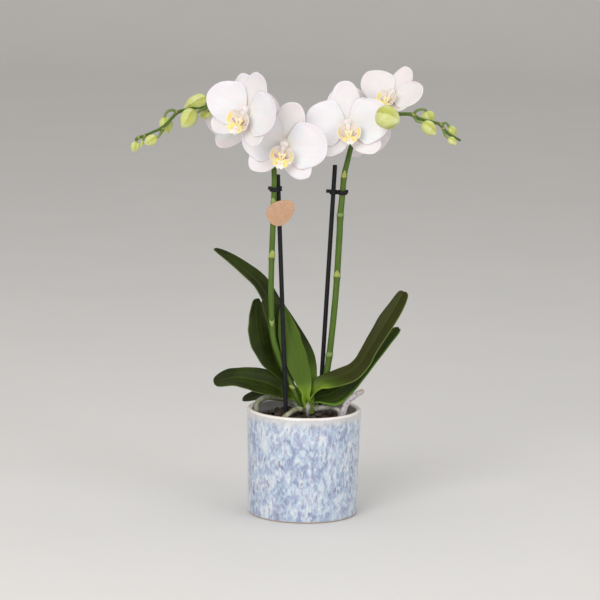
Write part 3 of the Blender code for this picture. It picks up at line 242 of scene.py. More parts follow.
# Blooms: the middle of the flower, how far it turns to the left, tips up and leans clockwise, its size,
# how far the petals cup forward, and where its stalk leaves the spike
BLOOMS = {
    "bloom_1": dict(middle=(-0.0562, -0.0380, 0.3744), turn=27, tip=7, lean=15, size=0.95, cup=19,
                    spike="spike_left", start=(-0.0607, 0.0055, 0.3718)),
    "bloom_2": dict(middle=(-0.0229, -0.0240, 0.3436), turn=1.5, tip=-5, lean=9.5, size=1.02, cup=9,
                    spike="spike_left", start=(-0.0336, -0.0060, 0.3359)),
    "bloom_3": dict(middle=(0.0340, -0.0060, 0.3592), turn=-4, tip=20, lean=-4, size=1.01, cup=13,
                    spike="spike_right", start=(0.0432, 0.0125, 0.3497)),
    "bloom_4": dict(middle=(0.0748, 0.0270, 0.3840), turn=16, tip=45, lean=16, size=0.80, cup=13,
                    blush=0.8, spike="spike_right", start=(0.0640, 0.0048, 0.3692)),
    "bloom_5": dict(middle=(-0.0587, 0.0300, 0.3609), turn=155, tip=0, lean=0, size=1.0, cup=10,
                    spike="spike_left", start=(-0.0640, 0.0056, 0.3722)),
    "bloom_6": dict(middle=(0.0433, 0.0330, 0.3590), turn=176, tip=0, lean=-48, size=0.93, cup=8,
                    spike="spike_right", start=(0.0493, 0.0120, 0.3600)),
}
TEPAL_ROOT = 0.0015
CLAW = 0.0018
CUP_REACH = 0.0385  # how far out the cup's angle is measured
TEPAL_ARCH = 0.05  # how far its sides turn back, as a share of the half width
TEPAL_CLOSE = 0.08  # how much narrower it is at its end than at its widest
# Tepals: direction, clockwise from straight up as seen from the front, length, half width, where along it
# is widest, how round its end is, and how far in front of the flower's middle it lies
SEPAL = dict(widest=0.80, roundness=0.42)
PETAL = dict(widest=0.70, roundness=0.55)
TEPALS = [
    dict(angle=0, length=0.0400, half_width=0.0133, layer=-0.0014, **SEPAL),
    dict(angle=135, length=0.0362, half_width=0.0122, layer=-0.0016, **SEPAL),
    dict(angle=-135, length=0.0362, half_width=0.0122, layer=-0.0016, **SEPAL),
    dict(angle=81.5, length=0.0382, half_width=0.0212, layer=0.0008, **PETAL),
    dict(angle=-81.5, length=0.0382, half_width=0.0212, layer=0.0008, **PETAL),
]
HUB = (0.0036, 0.0036, 0.0034)
HUB_BACK = 0.0016

# Lip: a foot on the flower's middle that ends in a bump, a bowl round it that the two side lobes and the
# base of the middle lobe make, and the trowel-shaped end of the middle lobe
LIP_FOOT = (0.0026, 0.0025, 0.0050)
LIP_FOOT_MIDDLE = (0.0, -0.0078, 0.0043)
BOWL_MIDDLE = (0.0, -0.0085)
BOWL_INNER_RADIUS = 0.0018
BOWL_RADIUS = 0.0105
BOWL_FLOOR = 0.0042
BOWL_DEPTH = 0.0070
BOWL_REACH = 157  # degrees from straight down to the end of a side lobe
NOTCH_AT = 38  # degrees from straight down to the notch between a side lobe and the middle lobe
NOTCH_WIDTH = 13
NOTCH_DEPTH = 0.22
MIDDLE_LOBE_FROM = (-0.0130, 0.0065)
MIDDLE_LOBE_TO = (-0.0200, 0.0120)
MIDDLE_LOBE_HALF_WIDTH = 0.0058
MIDDLE_LOBE_NECK = 0.0012
MIDDLE_LOBE_CURL = 0.0016  # how far its sides turn forward and up
MIDDLE_LOBE_SPAN = (0.12, 0.84)  # the stretch of a sine wave that its outline follows

# Clips: a ring round the spike, one round the stake, a bar between them and two ears
CLIP_HEIGHT = 0.0040
CLIP_WALL = 0.0012
CLIP_EAR = 0.0042
CLIP_EAR_RISE = 0.0008
CLIPS = {
    "clip_left": dict(spike="spike_left", stake="stake_left", z=0.3005,
                      ears=((-0.0055, 0.0010), (0.0070, 0.0040))),
    "clip_right": dict(spike="spike_right", stake="stake_right", z=0.2965,
                       ears=((-0.0150, 0.0010), (0.0052, 0.0000))),
}

# Tag: an egg-shaped card in front of the left spike
TAG_MIDDLE = (-0.0243, 0.2804)
TAG_LENGTH = 0.0280
TAG_WIDTH = 0.0212
TAG_EGG = 0.22
TAG_LEAN = 38
TAG_THICKNESS = 0.0008

# Finer sizes than the part's
END_TURNS = (20, 45, 70, 88)  # where the rings of a tube's round end lie, in degrees
AXIS_RADIUS = 0.001  # how near to its axis a turned outline starts
EGG_END = 0.985  # how near to its poles an egg's last rings lie
POT_SIDES = 128
POT_FLAT_RADIUS = 0.020
BARK_SIDES = 72
BARK_DEEP_Z = 0.0700
BARK_CLEARANCE = 0.0022  # from the culture pot's outside in to the bark
BARK_SHOULDER = 0.006  # how far below its edge the bark's side leans in
BARK_BED_DROP = 0.0015  # how far the bed lies under the chips' mean height
CHIP_COUNT = 95
CHIP_TURN = 137.5  # degrees from one chip to the next
CHIP_MARGIN = 0.006  # from the outermost chips' middles to the bark's edge
CHIP_RISE = (-0.002, 0.001)
CHIP_LEAN = 0.28  # the spread of a chip's tilt, in radians
CHIP_JITTER = 0.00018
CHIP_STEPS = 5
CHIP_LENGTH = (0.007, 0.0145)
CHIP_THICKNESS = (0.0022, 0.0048)
LEAF_THICKNESS = 0.0015
LEAF_ROWS = 72
LEAF_COLUMNS = 30
LEAF_END = 0.9998
LEAF_BEHIND, LEAF_AHEAD = 0.004, 0.012  # the stretch that a leaf's direction is taken over, as shares of it
LEAF_CREASE = 0.07  # how sharp the fold is at the midrib, as a share of the half width
LEAF_EDGE_CURL = 0.04
LEAF_EDGE_BLEND = 0.09
LEAF_WAVE = 0.0005
LEAF_GROOVE = 0.0003
LEAF_GROOVE_WIDTH = 0.0011
ROOT_STEP = 0.0012
STALK_STEP = 0.0014
SCALE_SHEET = 0.0006
STAKE_FOOT_Z = 0.0302
STAKE_TOP_DROP = 0.0006  # how far below the CAD's top its round end starts
TEPAL_THICKNESS = 0.0007
TEPAL_ROWS = 34
TEPAL_COLUMNS = 30
TEPAL_CORNER = 0.985
TEPAL_SCALLOP = 0.010
TEPAL_RIPPLE = 0.0007
TEPAL_GROOVE = 0.0004
TEPAL_SWAY = 0.0008
COLUMN = (0.0042, 0.0035, 0.0042)
COLUMN_MIDDLE = (0.0, 0.0003, 0.0032)
CAP = (0.0039, 0.0032, 0.0030)
CAP_MIDDLE = (0.0, 0.0014, 0.0066)
LIP_THICKNESS = 0.0006
STREAK_START = 0.0046  # the magenta streak's distance from the bowl's middle where it starts
STREAK_RISE = 0.000064  # how much farther out it lies for each degree round the bowl
STREAK_WIDTH = 0.00052
STREAK_LINES = ((-0.0014, 0.35), (0.0, 1.0), (0.0013, 0.35))  # how far aside and how strong each line is
MIDDLE_LOBE_SCALLOP = 0.0006
MIDDLE_LOBE_GROOVE = 0.0005
LIP_SPOTS = ((-0.0029, -0.0160), (-0.0001, -0.0158), (0.0027, -0.0154))
LIP_SPOT_WIDTH = 0.0011
CALLUS_ARM = [(0.0008, -0.0126, 0.0068), (0.0012, -0.0108, 0.0080), (0.0020, -0.0086, 0.0088),
              (0.0027, -0.0068, 0.0088)]
CALLUS_ARM_RADII = (0.0010, 0.0013)
COLUMN_FOOT = [(0.0, 0.0010, 0.0062), (0.0, -0.0022, 0.0060), (0.0, -0.0050, 0.0052),
               (0.0, -0.0078, 0.0050)]
COLUMN_FOOT_RADII = (0.0034, 0.0028, 0.0022, 0.0018)
HUB_WIDE = (0.0058, 0.0058, 0.0034)
BUD_SEAM_RISE = 0.35  # how far above the front a seam lies, as a slope
BUD_TWIST = 0.2  # how far its seams wind round it, in radians for its half length
BUD_OVERLAP = 0.12  # how far a sepal's edge stands out over the next
BUD_POINT = 0.22  # how much narrower a bud's tip is than an egg's
BUD_BRACT = (0.0019, 0.0019, 0.0017)
BUD_BRACT_AT = 0.0006  # how far from the spike's middle its bract lies
FLOWER_BRACT = (0.0022, 0.0022, 0.0019)
FLOWER_BRACT_AT = 0.0008
CLIP_SIDES = 40
CLIP_BEVEL = 0.0003
CLIP_EAR_BEVEL = 0.0004
CLIP_GROOVE = 0.0009  # half the height of the groove round a clip's ring
CLIP_GROOVE_FLOOR = 0.0006
CLIP_GROOVE_DEPTH = 0.0004
CLIP_BAR_SHORTER = 0.0022
TAG_BEVEL = 0.00015
TAG_CLEAR = 0.00045  # how far the card stands in front of the stalk's nodes

# Glaze, all but the foot's as depths below the rim
GLAZE_MORE_SPECKS = (0.045, 0.010)
GLAZE_THIN = (0.0085, -0.0005)
GLAZE_THIN_WOBBLE = 0.0060
GLAZE_RIM = (0.0020, 0.0009)
GLAZE_FOOT = (0.0020, 0.0015)
GLAZE_FOOT_WOBBLE = 0.0006

# Single tepals that differ from the rest: turned by so many degrees, so many times as long and as wide
SAME_TEPAL = dict(turn=0, longer=1.0, wider=1.0)
TEPAL_CHANGES = {
    "bloom_1": {0: dict(turn=11)},
    "bloom_2": {0: dict(turn=4), 3: dict(longer=1.02)},
    "bloom_4": {0: dict(turn=2, longer=0.97), 1: dict(turn=-12, longer=0.82), 2: dict(longer=0.85),
                3: dict(turn=-5, wider=0.93), 4: dict(turn=5, longer=1.07)},
}
# Lips that differ from the rest: tipped down by so many degrees and so many times as large
SAME_LIP = dict(droop=0, larger=1.0)
LIP_CHANGES = {"bloom_1": dict(droop=0, larger=1.16), "bloom_4": dict(droop=14, larger=1.12)}
# Scales at the nodes, from the lowest up: height, reach round the stalk at the foot and at the top in
# degrees, the way it faces, how far the middle of its top edge rises or sinks, and how green it is
SCALES = {
    "spike_left": ((0.0040, 80, 70, -95, 0.15, 0.4), (0.0076, 22, 105, -92, -0.35, 0.9),
                   (0.0074, 90, 42, -80, 0.35, 0.2), (0.0060, 70, 40, -110, 0.35, 0.7)),
    "spike_right": ((0.0042, 140, 140, -90, 0.0, 1.1), (0.0064, 75, 34, -95, 0.35, 0.25),
                    (0.0032, 140, 140, -90, 0.0, 1.15), (0.0070, 60, 30, -100, 0.35, 0.1)),
}

# Material numbers inside a piece
STALK, SCALE, BUD = 0, 1, 2
PETAL_PART, COLUMN_PART = 0, 1

# Floor, light and camera
FLOOR_FRONT = 9.0
FLOOR_HALF_WIDTH = 12.0
SWEEP_START = 4.0
SWEEP_RADIUS = 1.2
BACKDROP_HEIGHT = 6.0
WORLD_COLOUR = (1.0, 0.98, 0.965, 1)
WORLD_STRENGTH = 0.56
# Lights: place, what it points at, width, power and colour
LIGHTS = {
    "key": ((-0.85, -1.9, 1.25), (0, 0, 0.22), 1.3, 27, (1, 0.985, 0.985)),
    "fill": ((1.3, -1.3, 0.8), (0, 0, 0.22), 1.2, 8, (0.97, 0.98, 1)),
    "top": ((0.1, 0.3, 1.7), (0, 0, 0.2), 1.0, 4, (1, 1, 1)),
}
CAMERA_DISTANCE = 3.0
CAMERA_ELEVATION = 9.6
CAMERA_ROLL = 1.1
VIEW_WIDTH = 0.5478  # what the picture spans at the plant
CAMERA_SHIFT_X = -0.00383
CAMERA_SHIFT_Y = 0.09851


# Curves and vectors


def unit(vectors):
    """The same directions with length 1."""
    vectors = np.asarray(vectors, float)
    return vectors / np.maximum(np.linalg.norm(vectors, axis=-1, keepdims=True), 1e-12)


def smooth_curve(points, steps=16):
    """A dense Catmull-Rom curve through the points."""
    points = np.array(points, float)
    ends = np.vstack([2 * points[0] - points[1], points, 2 * points[-1] - points[-2]])
    t = np.arange(steps)[:, None] / steps
    pieces = []
    for before, start, end, after in zip(ends, ends[1:], ends[2:], ends[3:]):
        bend = (2 * before - 5 * start + 4 * end - after) * t ** 2
        turn = (3 * start - before - 3 * end + after) * t ** 3
        pieces.append((2 * start + (end - before) * t + bend + turn) / 2)
    return np.vstack([*pieces, points[-1]])


def travelled(curve):
    """How far along the curve each of its points lies."""
    return np.concatenate([[0.0], np.cumsum(np.linalg.norm(np.diff(curve, axis=0), axis=1))])


def at_share(curve, shares):
    """The points at these shares of the curve's length."""
    lengths = travelled(curve)
    wanted = np.clip(shares, 0, 1) * lengths[-1]
    return np.stack([np.interp(wanted, lengths, curve[:, axis]) for axis in range(3)], axis=-1)


def share_at_height(curve, height):
    """How far along the curve, as a share of its length, it first reaches a height."""
    lengths = travelled(curve)
    above = int(np.argmax(curve[:, 2] >= height))
    low, high = curve[above - 1, 2], curve[above, 2]
    part = (height - low) / (high - low)
    return (lengths[above - 1] + part * (lengths[above] - lengths[above - 1])) / lengths[-1]


def share_near(curve, point):
    """How far along the curve, as a share of its length, it comes nearest to a point."""
    lengths = travelled(curve)
    return lengths[np.argmin(np.linalg.norm(curve - np.array(point), axis=1))] / lengths[-1]


def ease(low, high, value):
    """0 below low, 1 above high and a smooth step between them."""
    share = np.clip((value - low) / (high - low), 0, 1)
    return share * share * (3 - 2 * share)


def bump_at(value, middle, width):
    """A bell curve: 1 at the middle, falling away over the width."""
    return np.exp(-(((value - middle) / width) ** 2))


def crowded(count, strength):
    """Shares from 0 to 1 that lie closer together toward both ends."""
    steps = np.linspace(0, 1, count + 1)
    return steps - strength * np.sin(math.tau * steps) / math.tau


def full_turn(steps):
    """Angles all round, in radians."""
    return np.arange(steps) / steps * math.tau


def arc(centre, radius, start, end, steps):
    """Points of a profile's round stretch, between two angles in degrees."""
    angles = np.radians(np.linspace(start, end, steps + 1))
    return [(centre[0] + radius * math.cos(a), centre[1] + radius * math.sin(a)) for a in angles]


def facing(forward):
    """A turn that takes +Z to a direction, as a 3x3 array."""
    return np.array(Vector((0, 0, 1)).rotation_difference(Vector(forward)).to_matrix())


# Shapes


class Shape:
    """The points, faces and values per point of one piece, gathered before its mesh is made.

    A value that one part of it has and another hasn't is 0 there.
    """

    def __init__(self):
        self.points = []
        self.faces = []
        self.materials = []
        self.values = {}
        self.count = 0

    def add(self, points, face_groups, material=0, **values):
        points = np.asarray(points, float).reshape(-1, 3)
        for faces in face_groups:
            self.faces += (np.asarray(faces) + self.count).tolist()
            self.materials += [material] * len(faces)
        for name in sorted(set(values) | set(self.values)):
            new = np.broadcast_to(np.ravel(values.get(name, 0.0)), len(points))
            self.values.setdefault(name, np.zeros(self.count))
            self.values[name] = np.concatenate([self.values[name], new])
        self.points.append(points)
        self.count += len(points)

    def move(self, matrix):
        """Takes all points gathered so far through a 4x4 matrix."""
        matrix = np.array(matrix)
        self.points = [points @ matrix[:3, :3].T + matrix[:3, 3] for points in self.points]


def quads(index):
    """The faces of a grid of point numbers."""
    return np.stack([index[:-1, :-1], index[:-1, 1:], index[1:, 1:], index[1:, :-1]], axis=-1).reshape(-1, 4)


def sheet(shape, place, rows, columns, thickness, material=0, marks=None, **values):
    """A thin sheet with rounded edges: place takes arrays of along, 0 to 1, and across, -1 to 1."""
    along, across = np.meshgrid(crowded(rows, 0.93), 2 * crowded(columns, 0.90) - 1, indexing="ij")
    middle = place(along, across)
    normal = unit(np.cross(np.gradient(middle, axis=1), np.gradient(middle, axis=0)))
    to_edge = np.full(along.shape, np.inf)
    for axis in (0, 1):
        steps = np.linalg.norm(np.diff(middle, axis=axis), axis=-1)
        distance = np.insert(np.cumsum(steps, axis=axis), 0, 0, axis=axis)
        beyond = np.max(distance, axis=axis, keepdims=True) - distance
        to_edge = np.minimum(to_edge, np.minimum(distance, beyond))
    roundness = np.clip(to_edge / (0.8 * thickness), 0, 1)
    raised = normal * (thickness / 2 * np.sqrt(1 - (1 - roundness) ** 2))[..., None]
    front = np.arange(along.size).reshape(along.shape)
    back = front.copy()
    back[1:-1, 1:-1] = along.size + np.arange((rows - 1) * (columns - 1)).reshape(rows - 1, columns - 1)
    inner = (slice(1, -1), slice(1, -1))
    points = np.vstack([(middle + raised).reshape(-1, 3), (middle - raised)[inner].reshape(-1, 3)])

    def both(value):
        return np.concatenate([np.ravel(value), np.ravel(value[inner])])

    side = np.concatenate([np.ones(along.size), -np.ones((rows - 1) * (columns - 1))])
    made = dict(along=both(along), across=both(across), side=side)
    if marks:
        made.update({name: both(value) for name, value in marks(along, across, middle).items()})
    made.update(values)
    shape.add(points, [quads(front), quads(back)[:, ::-1]], material, **made)


def rings(shape, points, material=0, closed=False, **values):
    """Faces round a stack of rings, points[ring, place on it], with flat ends or joined into a loop."""
    count, sides = points.shape[:2]
    index = np.arange(count * sides).reshape(count, sides)
    index = np.hstack([index, index[:, :1]])
    if closed:
        shape.add(points, [quads(np.vstack([index, index[:1]]))], material, **values)
        return
    ends = [index[:1, :-1][:, ::-1], index[-1:, :-1]]
    shape.add(points, [quads(index), *ends], material, **values)


def filled(values, first, second):
    """Values per point: a function among them is worked out from the two arrays."""
    return {name: value(first, second) if callable(value) else value for name, value in values.items()}


def tube(shape, curve, radii, sides, material=0, ends=(1.0, 1.0), dent=None, **values):
    """A tube along a curve. Its ends are round, as long as the given shares of the radius there."""
    curve = np.asarray(curve, float)
    radii = np.broadcast_to(np.asarray(radii, float), len(curve)).copy()
    tangent = unit(np.gradient(curve, axis=0))
    side = unit(np.cross(tangent[0], (0.31, 0.17, 0.93)))
    sides_along = []
    for direction in tangent:
        side = unit(side - direction * np.dot(side, direction))
        sides_along.append(side)
    turn = np.radians(END_TURNS)
    lead = curve[0] - tangent[0] * (radii[0] * ends[0] * np.sin(turn))[::-1, None]
    tail = curve[-1] + tangent[-1] * (radii[-1] * ends[1] * np.sin(turn))[:, None]
    centres = np.vstack([lead, curve, tail])
    radii = np.concatenate([radii[0] * np.cos(turn)[::-1], radii, radii[-1] * np.cos(turn)])
    padding = ((len(turn), len(turn)), (0, 0))
    first = np.pad(sides_along, padding, "edge")
    second = np.pad(np.cross(tangent, sides_along), padding, "edge")
    share = travelled(centres) / travelled(centres)[-1]
    share, angle = np.meshgrid(share, full_turn(sides), indexing="ij")
    reach = radii[:, None] * (1 + dent(share, angle) if dent else np.ones_like(angle))
    points = centres[:, None] + reach[..., None] * (
        np.cos(angle)[..., None] * first[:, None] + np.sin(angle)[..., None] * second[:, None])
    made = dict(along=share, across=angle / math.tau) | filled(values, share, angle)
    rings(shape, points, material, **made)


def turned(profile, sides):
    """The rings that a profile of (radius, height) makes when it is turned round Z."""
    profile = np.array(profile, float)
    angle = full_turn(sides)
    radius, height = profile[:, :1], profile[:, 1:]
    return np.stack([radius * np.cos(angle), radius * np.sin(angle), height + 0 * angle], axis=-1)


def egg(shape, middle, radii, material=0, turn=np.eye(3), around=24, rows=16, form=None, **values):
    """An ellipsoid, reshaped by form(height from -1 to 1, angle) if it is given."""
    slope = np.linspace(-0.5, 0.5, rows + 1) * math.pi * EGG_END
    height, angle = np.meshgrid(np.sin(slope), full_turn(around), indexing="ij")
    width = np.sqrt(1 - height ** 2) * (form(height, angle) if form else 1.0)
    local = np.stack([width * np.cos(angle) * radii[0], width * np.sin(angle) * radii[1], height * radii[2]],
                     axis=-1)
    points = local @ np.asarray(turn).T + np.asarray(middle)
    made = dict(along=(height + 1) / 2, across=angle / math.tau) | filled(values, height, angle)
    rings(shape, points, material, **made)


def slab(shape, outline, low, high, bevel, place, material=0, jitter=0.0, draw=None, **values):
    """A flat slab with a rounded edge: an outline of (x, y) from a low to a high z, placed by a 4x4."""
    outline = np.asarray(outline, float)
    edge_out = unit(np.stack([np.gradient(outline[:, 1]), -np.gradient(outline[:, 0])], axis=-1))
    levels = [(low, 1.0), (low + bevel * 0.3, 0.3), (low + bevel, 0.0),
              (high - bevel, 0.0), (high - bevel * 0.3, 0.3), (high, 1.0)]
    points = []
    for z, inset in levels:
        flat = outline - edge_out * bevel * inset
        points.append(np.column_stack([flat, np.full(len(flat), z)]))
    points = np.array(points)
    if jitter:
        points += draw.normal(0, jitter, points.shape)
    place = np.array(place)
    rings(shape, points @ place[:3, :3].T + place[:3, 3], material, **values)


def rounded_box(shape, middle, size, bevel, turn=0.0, material=0, **values):
    """A box with rounded edges, turned about Z."""
    x, y = size[0] / 2 - bevel, size[1] / 2 - bevel
    outline = []
    for corner_x, corner_y, start in ((x, y, 0), (-x, y, 90), (-x, -y, 180), (x, -y, 270)):
        outline += arc((corner_x, corner_y), bevel, start, start + 90, 4)
    place = Matrix.Translation(middle) @ Matrix.Rotation(turn, 4, "Z")
    slab(shape, outline, -size[2] / 2, size[2] / 2, bevel, place, material, **values)


def piece(node, shape, materials, sharp_angle=50):
    """The finished piece that stands for a CAD node."""
    name = node + "_fine"
    mesh = bpy.data.meshes.new(name)
    mesh.from_pydata(np.vstack(shape.points).tolist(), [], shape.faces)
    mesh.polygons.foreach_set("material_index", shape.materials)
    for value_name, value in shape.values.items():
        mesh.attributes.new(value_name, "FLOAT", "POINT").data.foreach_set("value", value.astype(np.float32))
    for made in materials:
        mesh.materials.append(made)
    mesh.shade_smooth()
    mesh.set_sharp_from_angle(angle=math.radians(sharp_angle))
    obj = bpy.data.objects.new(name, mesh)
    bpy.context.scene.collection.objects.link(obj)
    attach(obj, "root")
    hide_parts(node)


# Pot, bark and crown


def pot_radius(z):
    """The glazed pot's outer radius at a height."""
    return POT_FOOT_RADIUS + (POT_TOP_RADIUS - POT_FOOT_RADIUS) * z / POT_HEIGHT


def make_pot():
    rim = POT_WALL / 2
    rim_middle = (pot_radius(POT_HEIGHT) - rim, POT_HEIGHT - rim)
    corner = POT_INNER_CORNER
    corner_middle = (pot_radius(POT_FLOOR + corner) - POT_WALL - corner, POT_FLOOR + corner)
    foot = POT_FOOT_EDGE
    foot_middle = (pot_radius(foot) - foot, foot)
    profile = [(AXIS_RADIUS, POT_FLOOR), (POT_FLAT_RADIUS, POT_FLOOR)]
    profile += arc(corner_middle, corner, -90, 0, 8)
    profile += arc(rim_middle, rim, 180, 0, 16)
    profile += arc(foot_middle, foot, 0, -90, 8)
    profile += [(POT_FLAT_RADIUS, 0), (AXIS_RADIUS, 0)]
    profile = np.array(profile[::-1])
    radius, height = profile.T
    inside = (radius < pot_radius(height) - POT_WALL * 0.8) & (height > POT_FLOOR * 0.9)
    pot = Shape()
    rings(pot, turned(profile, POT_SIDES), inside=np.repeat(inside, POT_SIDES).astype(float))
    piece("pot", pot, [glaze()])


def bark_surface(radius):
    share = radius / GROW_POT_TOP_RADIUS
    return BARK_MIDDLE_Z + (BARK_EDGE_Z - BARK_MIDDLE_Z) * share * share


def bark_chip(draw):
    """The outline and thickness of one broken piece of bark."""
    corners = draw.integers(5, 9)
    angles = np.sort((np.arange(corners) + draw.uniform(-0.3, 0.3, corners)) / corners * math.tau)
    radii = draw.uniform(0.65, 1.05, corners)
    outline = []
    around = np.stack([np.cos(angles), np.sin(angles)], axis=-1) * radii[:, None]
    for first, last in zip(around, np.roll(around, -1, axis=0)):
        outline += [first + (last - first) * step / CHIP_STEPS for step in range(CHIP_STEPS)]
    length = draw.uniform(*CHIP_LENGTH)
    width = length * draw.uniform(0.45, 0.85)
    return np.array(outline) * (length / 2, width / 2), draw.uniform(*CHIP_THICKNESS)


def make_bark():
    """A bed of bark with loose chips lying on it and sunk in it."""
    bark = Shape()
    edge = GROW_POT_TOP_RADIUS - BARK_CLEARANCE
    profile = [(AXIS_RADIUS, BARK_DEEP_Z), (edge * 0.9, BARK_DEEP_Z), (edge, BARK_EDGE_Z - BARK_SHOULDER)]
    for radius in np.linspace(edge, AXIS_RADIUS, 24):
        profile.append((radius, bark_surface(radius) - BARK_BED_DROP))
    rings(bark, turned(profile, BARK_SIDES), tone=0.3)
    draw = np.random.default_rng(7)
    for number in range(CHIP_COUNT):
        outline, thickness = bark_chip(draw)
        radius = (edge - CHIP_MARGIN) * math.sqrt((number + 0.5) / CHIP_COUNT)
        angle = number * math.radians(CHIP_TURN) + draw.uniform(-0.3, 0.3)
        height = bark_surface(radius) + draw.uniform(*CHIP_RISE)
        place = Matrix.Translation((radius * math.cos(angle), radius * math.sin(angle), height))
        place @= Matrix.Rotation(draw.uniform(0, math.tau), 4, "Z")
        for axis in "XY":
            place @= Matrix.Rotation(draw.normal(0, CHIP_LEAN), 4, axis)
        slab(bark, outline, -thickness / 2, thickness / 2, thickness * 0.25, place,
             jitter=CHIP_JITTER, draw=draw, tone=draw.uniform(0, 1))
    piece("bark", bark, [bark_material()], sharp_angle=35)


def make_crown():
    curve = at_share(smooth_curve([(CROWN_X, 0, z) for z in CROWN_HEIGHTS]), np.linspace(0, 1, 30))
    radii = np.interp(curve[:, 2], CROWN_HEIGHTS, np.array(CROWN_WIDTHS) * CROWN_RADIUS)
    crown = Shape()
    tube(crown, curve, radii, 32, ends=(0.1, 0.6), dent=lambda share, angle: 0.05 * np.cos(2 * angle))
    piece("crown", crown, [crown_material()])


# Leaves and roots


def leaf_outline(share, widest, blunt):
    """A leaf's half width along its length, as a share of the widest."""
    turn = math.pi * share ** (math.log(0.5) / math.log(widest))
    return np.maximum(np.sin(turn), 0) ** (1.5 - blunt * share)


def widening(share, edge):
    """How many times as wide as the plain outline one side is: the mean of the values given nearby."""
    weights = [bump_at(share, at, LEAF_EDGE_BLEND) + 1e-9 for at, _ in edge]
    return sum(weight * times for weight, (_, times) in zip(weights, edge)) / sum(weights)


def leaf_place(leaf, number):
    curve = smooth_curve(leaf["route"])
    length = travelled(curve)[-1]

    def place(along, across):
        share = LEAF_END * along
        notch = leaf["notch"] * np.maximum(0.0, 1 - 3 * np.abs(across)) * along ** 6 / length
        middle = share - notch
        here = at_share(curve, middle)
        forward = unit(at_share(curve, middle + LEAF_AHEAD) - at_share(curve, middle - LEAF_BEHIND))
        side = unit(np.cross(forward, unit(leaf["face"])))
        normal = np.cross(side, forward)
        outline = leaf_outline(share, leaf["widest"], leaf["blunt"])
        width = np.maximum(LEAF_PETIOLE * (1 - share), leaf["half_width"] * outline)
        width = width * np.where(across < 0, widening(share, leaf["left"]), widening(share, leaf["right"]))
        fold = LEAF_FOLD + LEAF_FOOT_FOLD * np.maximum(0.0, 1 - share / LEAF_FOOT)
        rise = fold * width * (np.hypot(across, LEAF_CREASE) - LEAF_CREASE)
        rise -= LEAF_EDGE_CURL * width * np.abs(across) ** 4
        open_share = ease(0.15, 0.4, share) * across ** 2
        rise += LEAF_WAVE * np.sin(number * 1.7 + share * 9 + across * 1.2) * open_share
        rise -= LEAF_GROOVE * bump_at(across * width, 0, LEAF_GROOVE_WIDTH) * ease(0.05, 0.2, share)
        reach = across * width * np.cos(np.arctan(fold))
        return here + side * reach[..., None] + normal * rise[..., None]

    return place


def make_leaf(name, number):
    leaf = PLAIN_LEAF | LEAVES[name]
    looks = {value: leaf[value] for value in ("foot", "young", "olive", "rim")}
    tone = ((number * 0.37) % 1.0) * 0.6
    made = Shape()
    sheet(made, leaf_place(leaf, number), LEAF_ROWS, LEAF_COLUMNS, LEAF_THICKNESS, tone=tone, **looks)
    piece(name, made, [leaf_material()])


def make_root(name, number):
    root = PLAIN_ROOT | ROOTS[name]
    rough = smooth_curve(root["route"])
    share = np.linspace(0, 1, round(travelled(rough)[-1] / ROOT_STEP) + 1)
    radii = root["radius"] * (1 + ROOT_WAVE * np.sin(9 * share) + 0.03 * np.sin(31 * share + number))
    radii = radii * np.interp(share, (0, 1), root["thick"])
    made = Shape()

    def dent(along, angle):
        return 0.035 * np.sin(3 * angle + 14 * along + number) + 0.02 * np.sin(5 * angle - 23 * along)

    # near-black brown past the middle, as far as dark_end says
    tube(made, at_share(rough, share), radii, 28, ends=(0.8, 0.8), dent=dent, tone=root["silver"],
         soil=lambda along, angle: root["dark_end"] * ease(0.35, 0.55, along))
    piece(name, made, [root_material()])


# Flower spikes


def spike_radius(spike, share):
    thinning = spike["foot_radius"] - spike["tip_radius"]
    return spike["foot_radius"] - thinning * np.maximum(0.0, 2 * share - 1)


def make_stalk(made, name):
    """A spike's stalk, swollen at its nodes and with a ring round each."""
    spike = SPIKES[name]
    rough = smooth_curve(spike["route"])
    length = travelled(rough)[-1]
    share = np.linspace(0, 1, round(length / STALK_STEP) + 1)
    nodes = [share_at_height(rough, height) for height in spike["nodes"]]
    joints = [bud["stalk"][0] for bud in BUDS[name]]
    joints += [bloom["start"] for bloom in BLOOMS.values() if bloom["spike"] == name]
    nodes += [share_near(rough, joint) for joint in joints]
    near = NODE_HALF_LENGTH / length
    swelling = np.minimum(1.2, sum(bump_at(share, node, near) for node in nodes))
    ring = sum(bump_at(share, node - near * 0.35, near * 0.28) for node in nodes)
    radii = spike_radius(spike, share) * (1 + NODE_SWELLING * 1.4 * swelling)
    tube(made, at_share(rough, share), radii, 20, STALK, ends=(0.2, 0.8),
         dent=lambda along, angle: 0.02 * np.cos(5 * angle + 30 * along),
         mark=lambda along, angle: np.interp(along, share, np.minimum(ring, 1)))


def make_scale(made, name, node, look):
    """The small pale scale at a node that wraps part of the stalk."""
    rise, foot_wrap, top_wrap, side, crest, green = look
    curve = smooth_curve(SPIKES[name]["route"])
    length = travelled(curve)[-1]
    share = share_at_height(curve, node)
    radius = spike_radius(SPIKES[name], share)

    def place(along, across):
        edge = 1 + crest * (1 - across ** 2) - max(crest, 0.0)
        here = at_share(curve, share + along * edge * rise / length)
        half_wrap = foot_wrap + (top_wrap - foot_wrap) * along ** 2
        angle = np.radians(side + across * half_wrap)
        out = radius * (1.02 + SCALE_BULGE * np.sin(np.minimum(math.pi, 1.3 * math.pi * along)))
        around = np.stack([np.cos(angle), np.sin(angle), np.zeros_like(angle)], axis=-1)
        return here + around * out[..., None]

    sheet(made, place, 14, 18, SCALE_SHEET, SCALE, green=green)


def bud_phase(height, angle):
    """How far round one of the bud's three sepals a point lies: 1 at the edge that lies over the next."""
    return (-(angle + BUD_TWIST * height) * 3 / math.tau) % 1.0


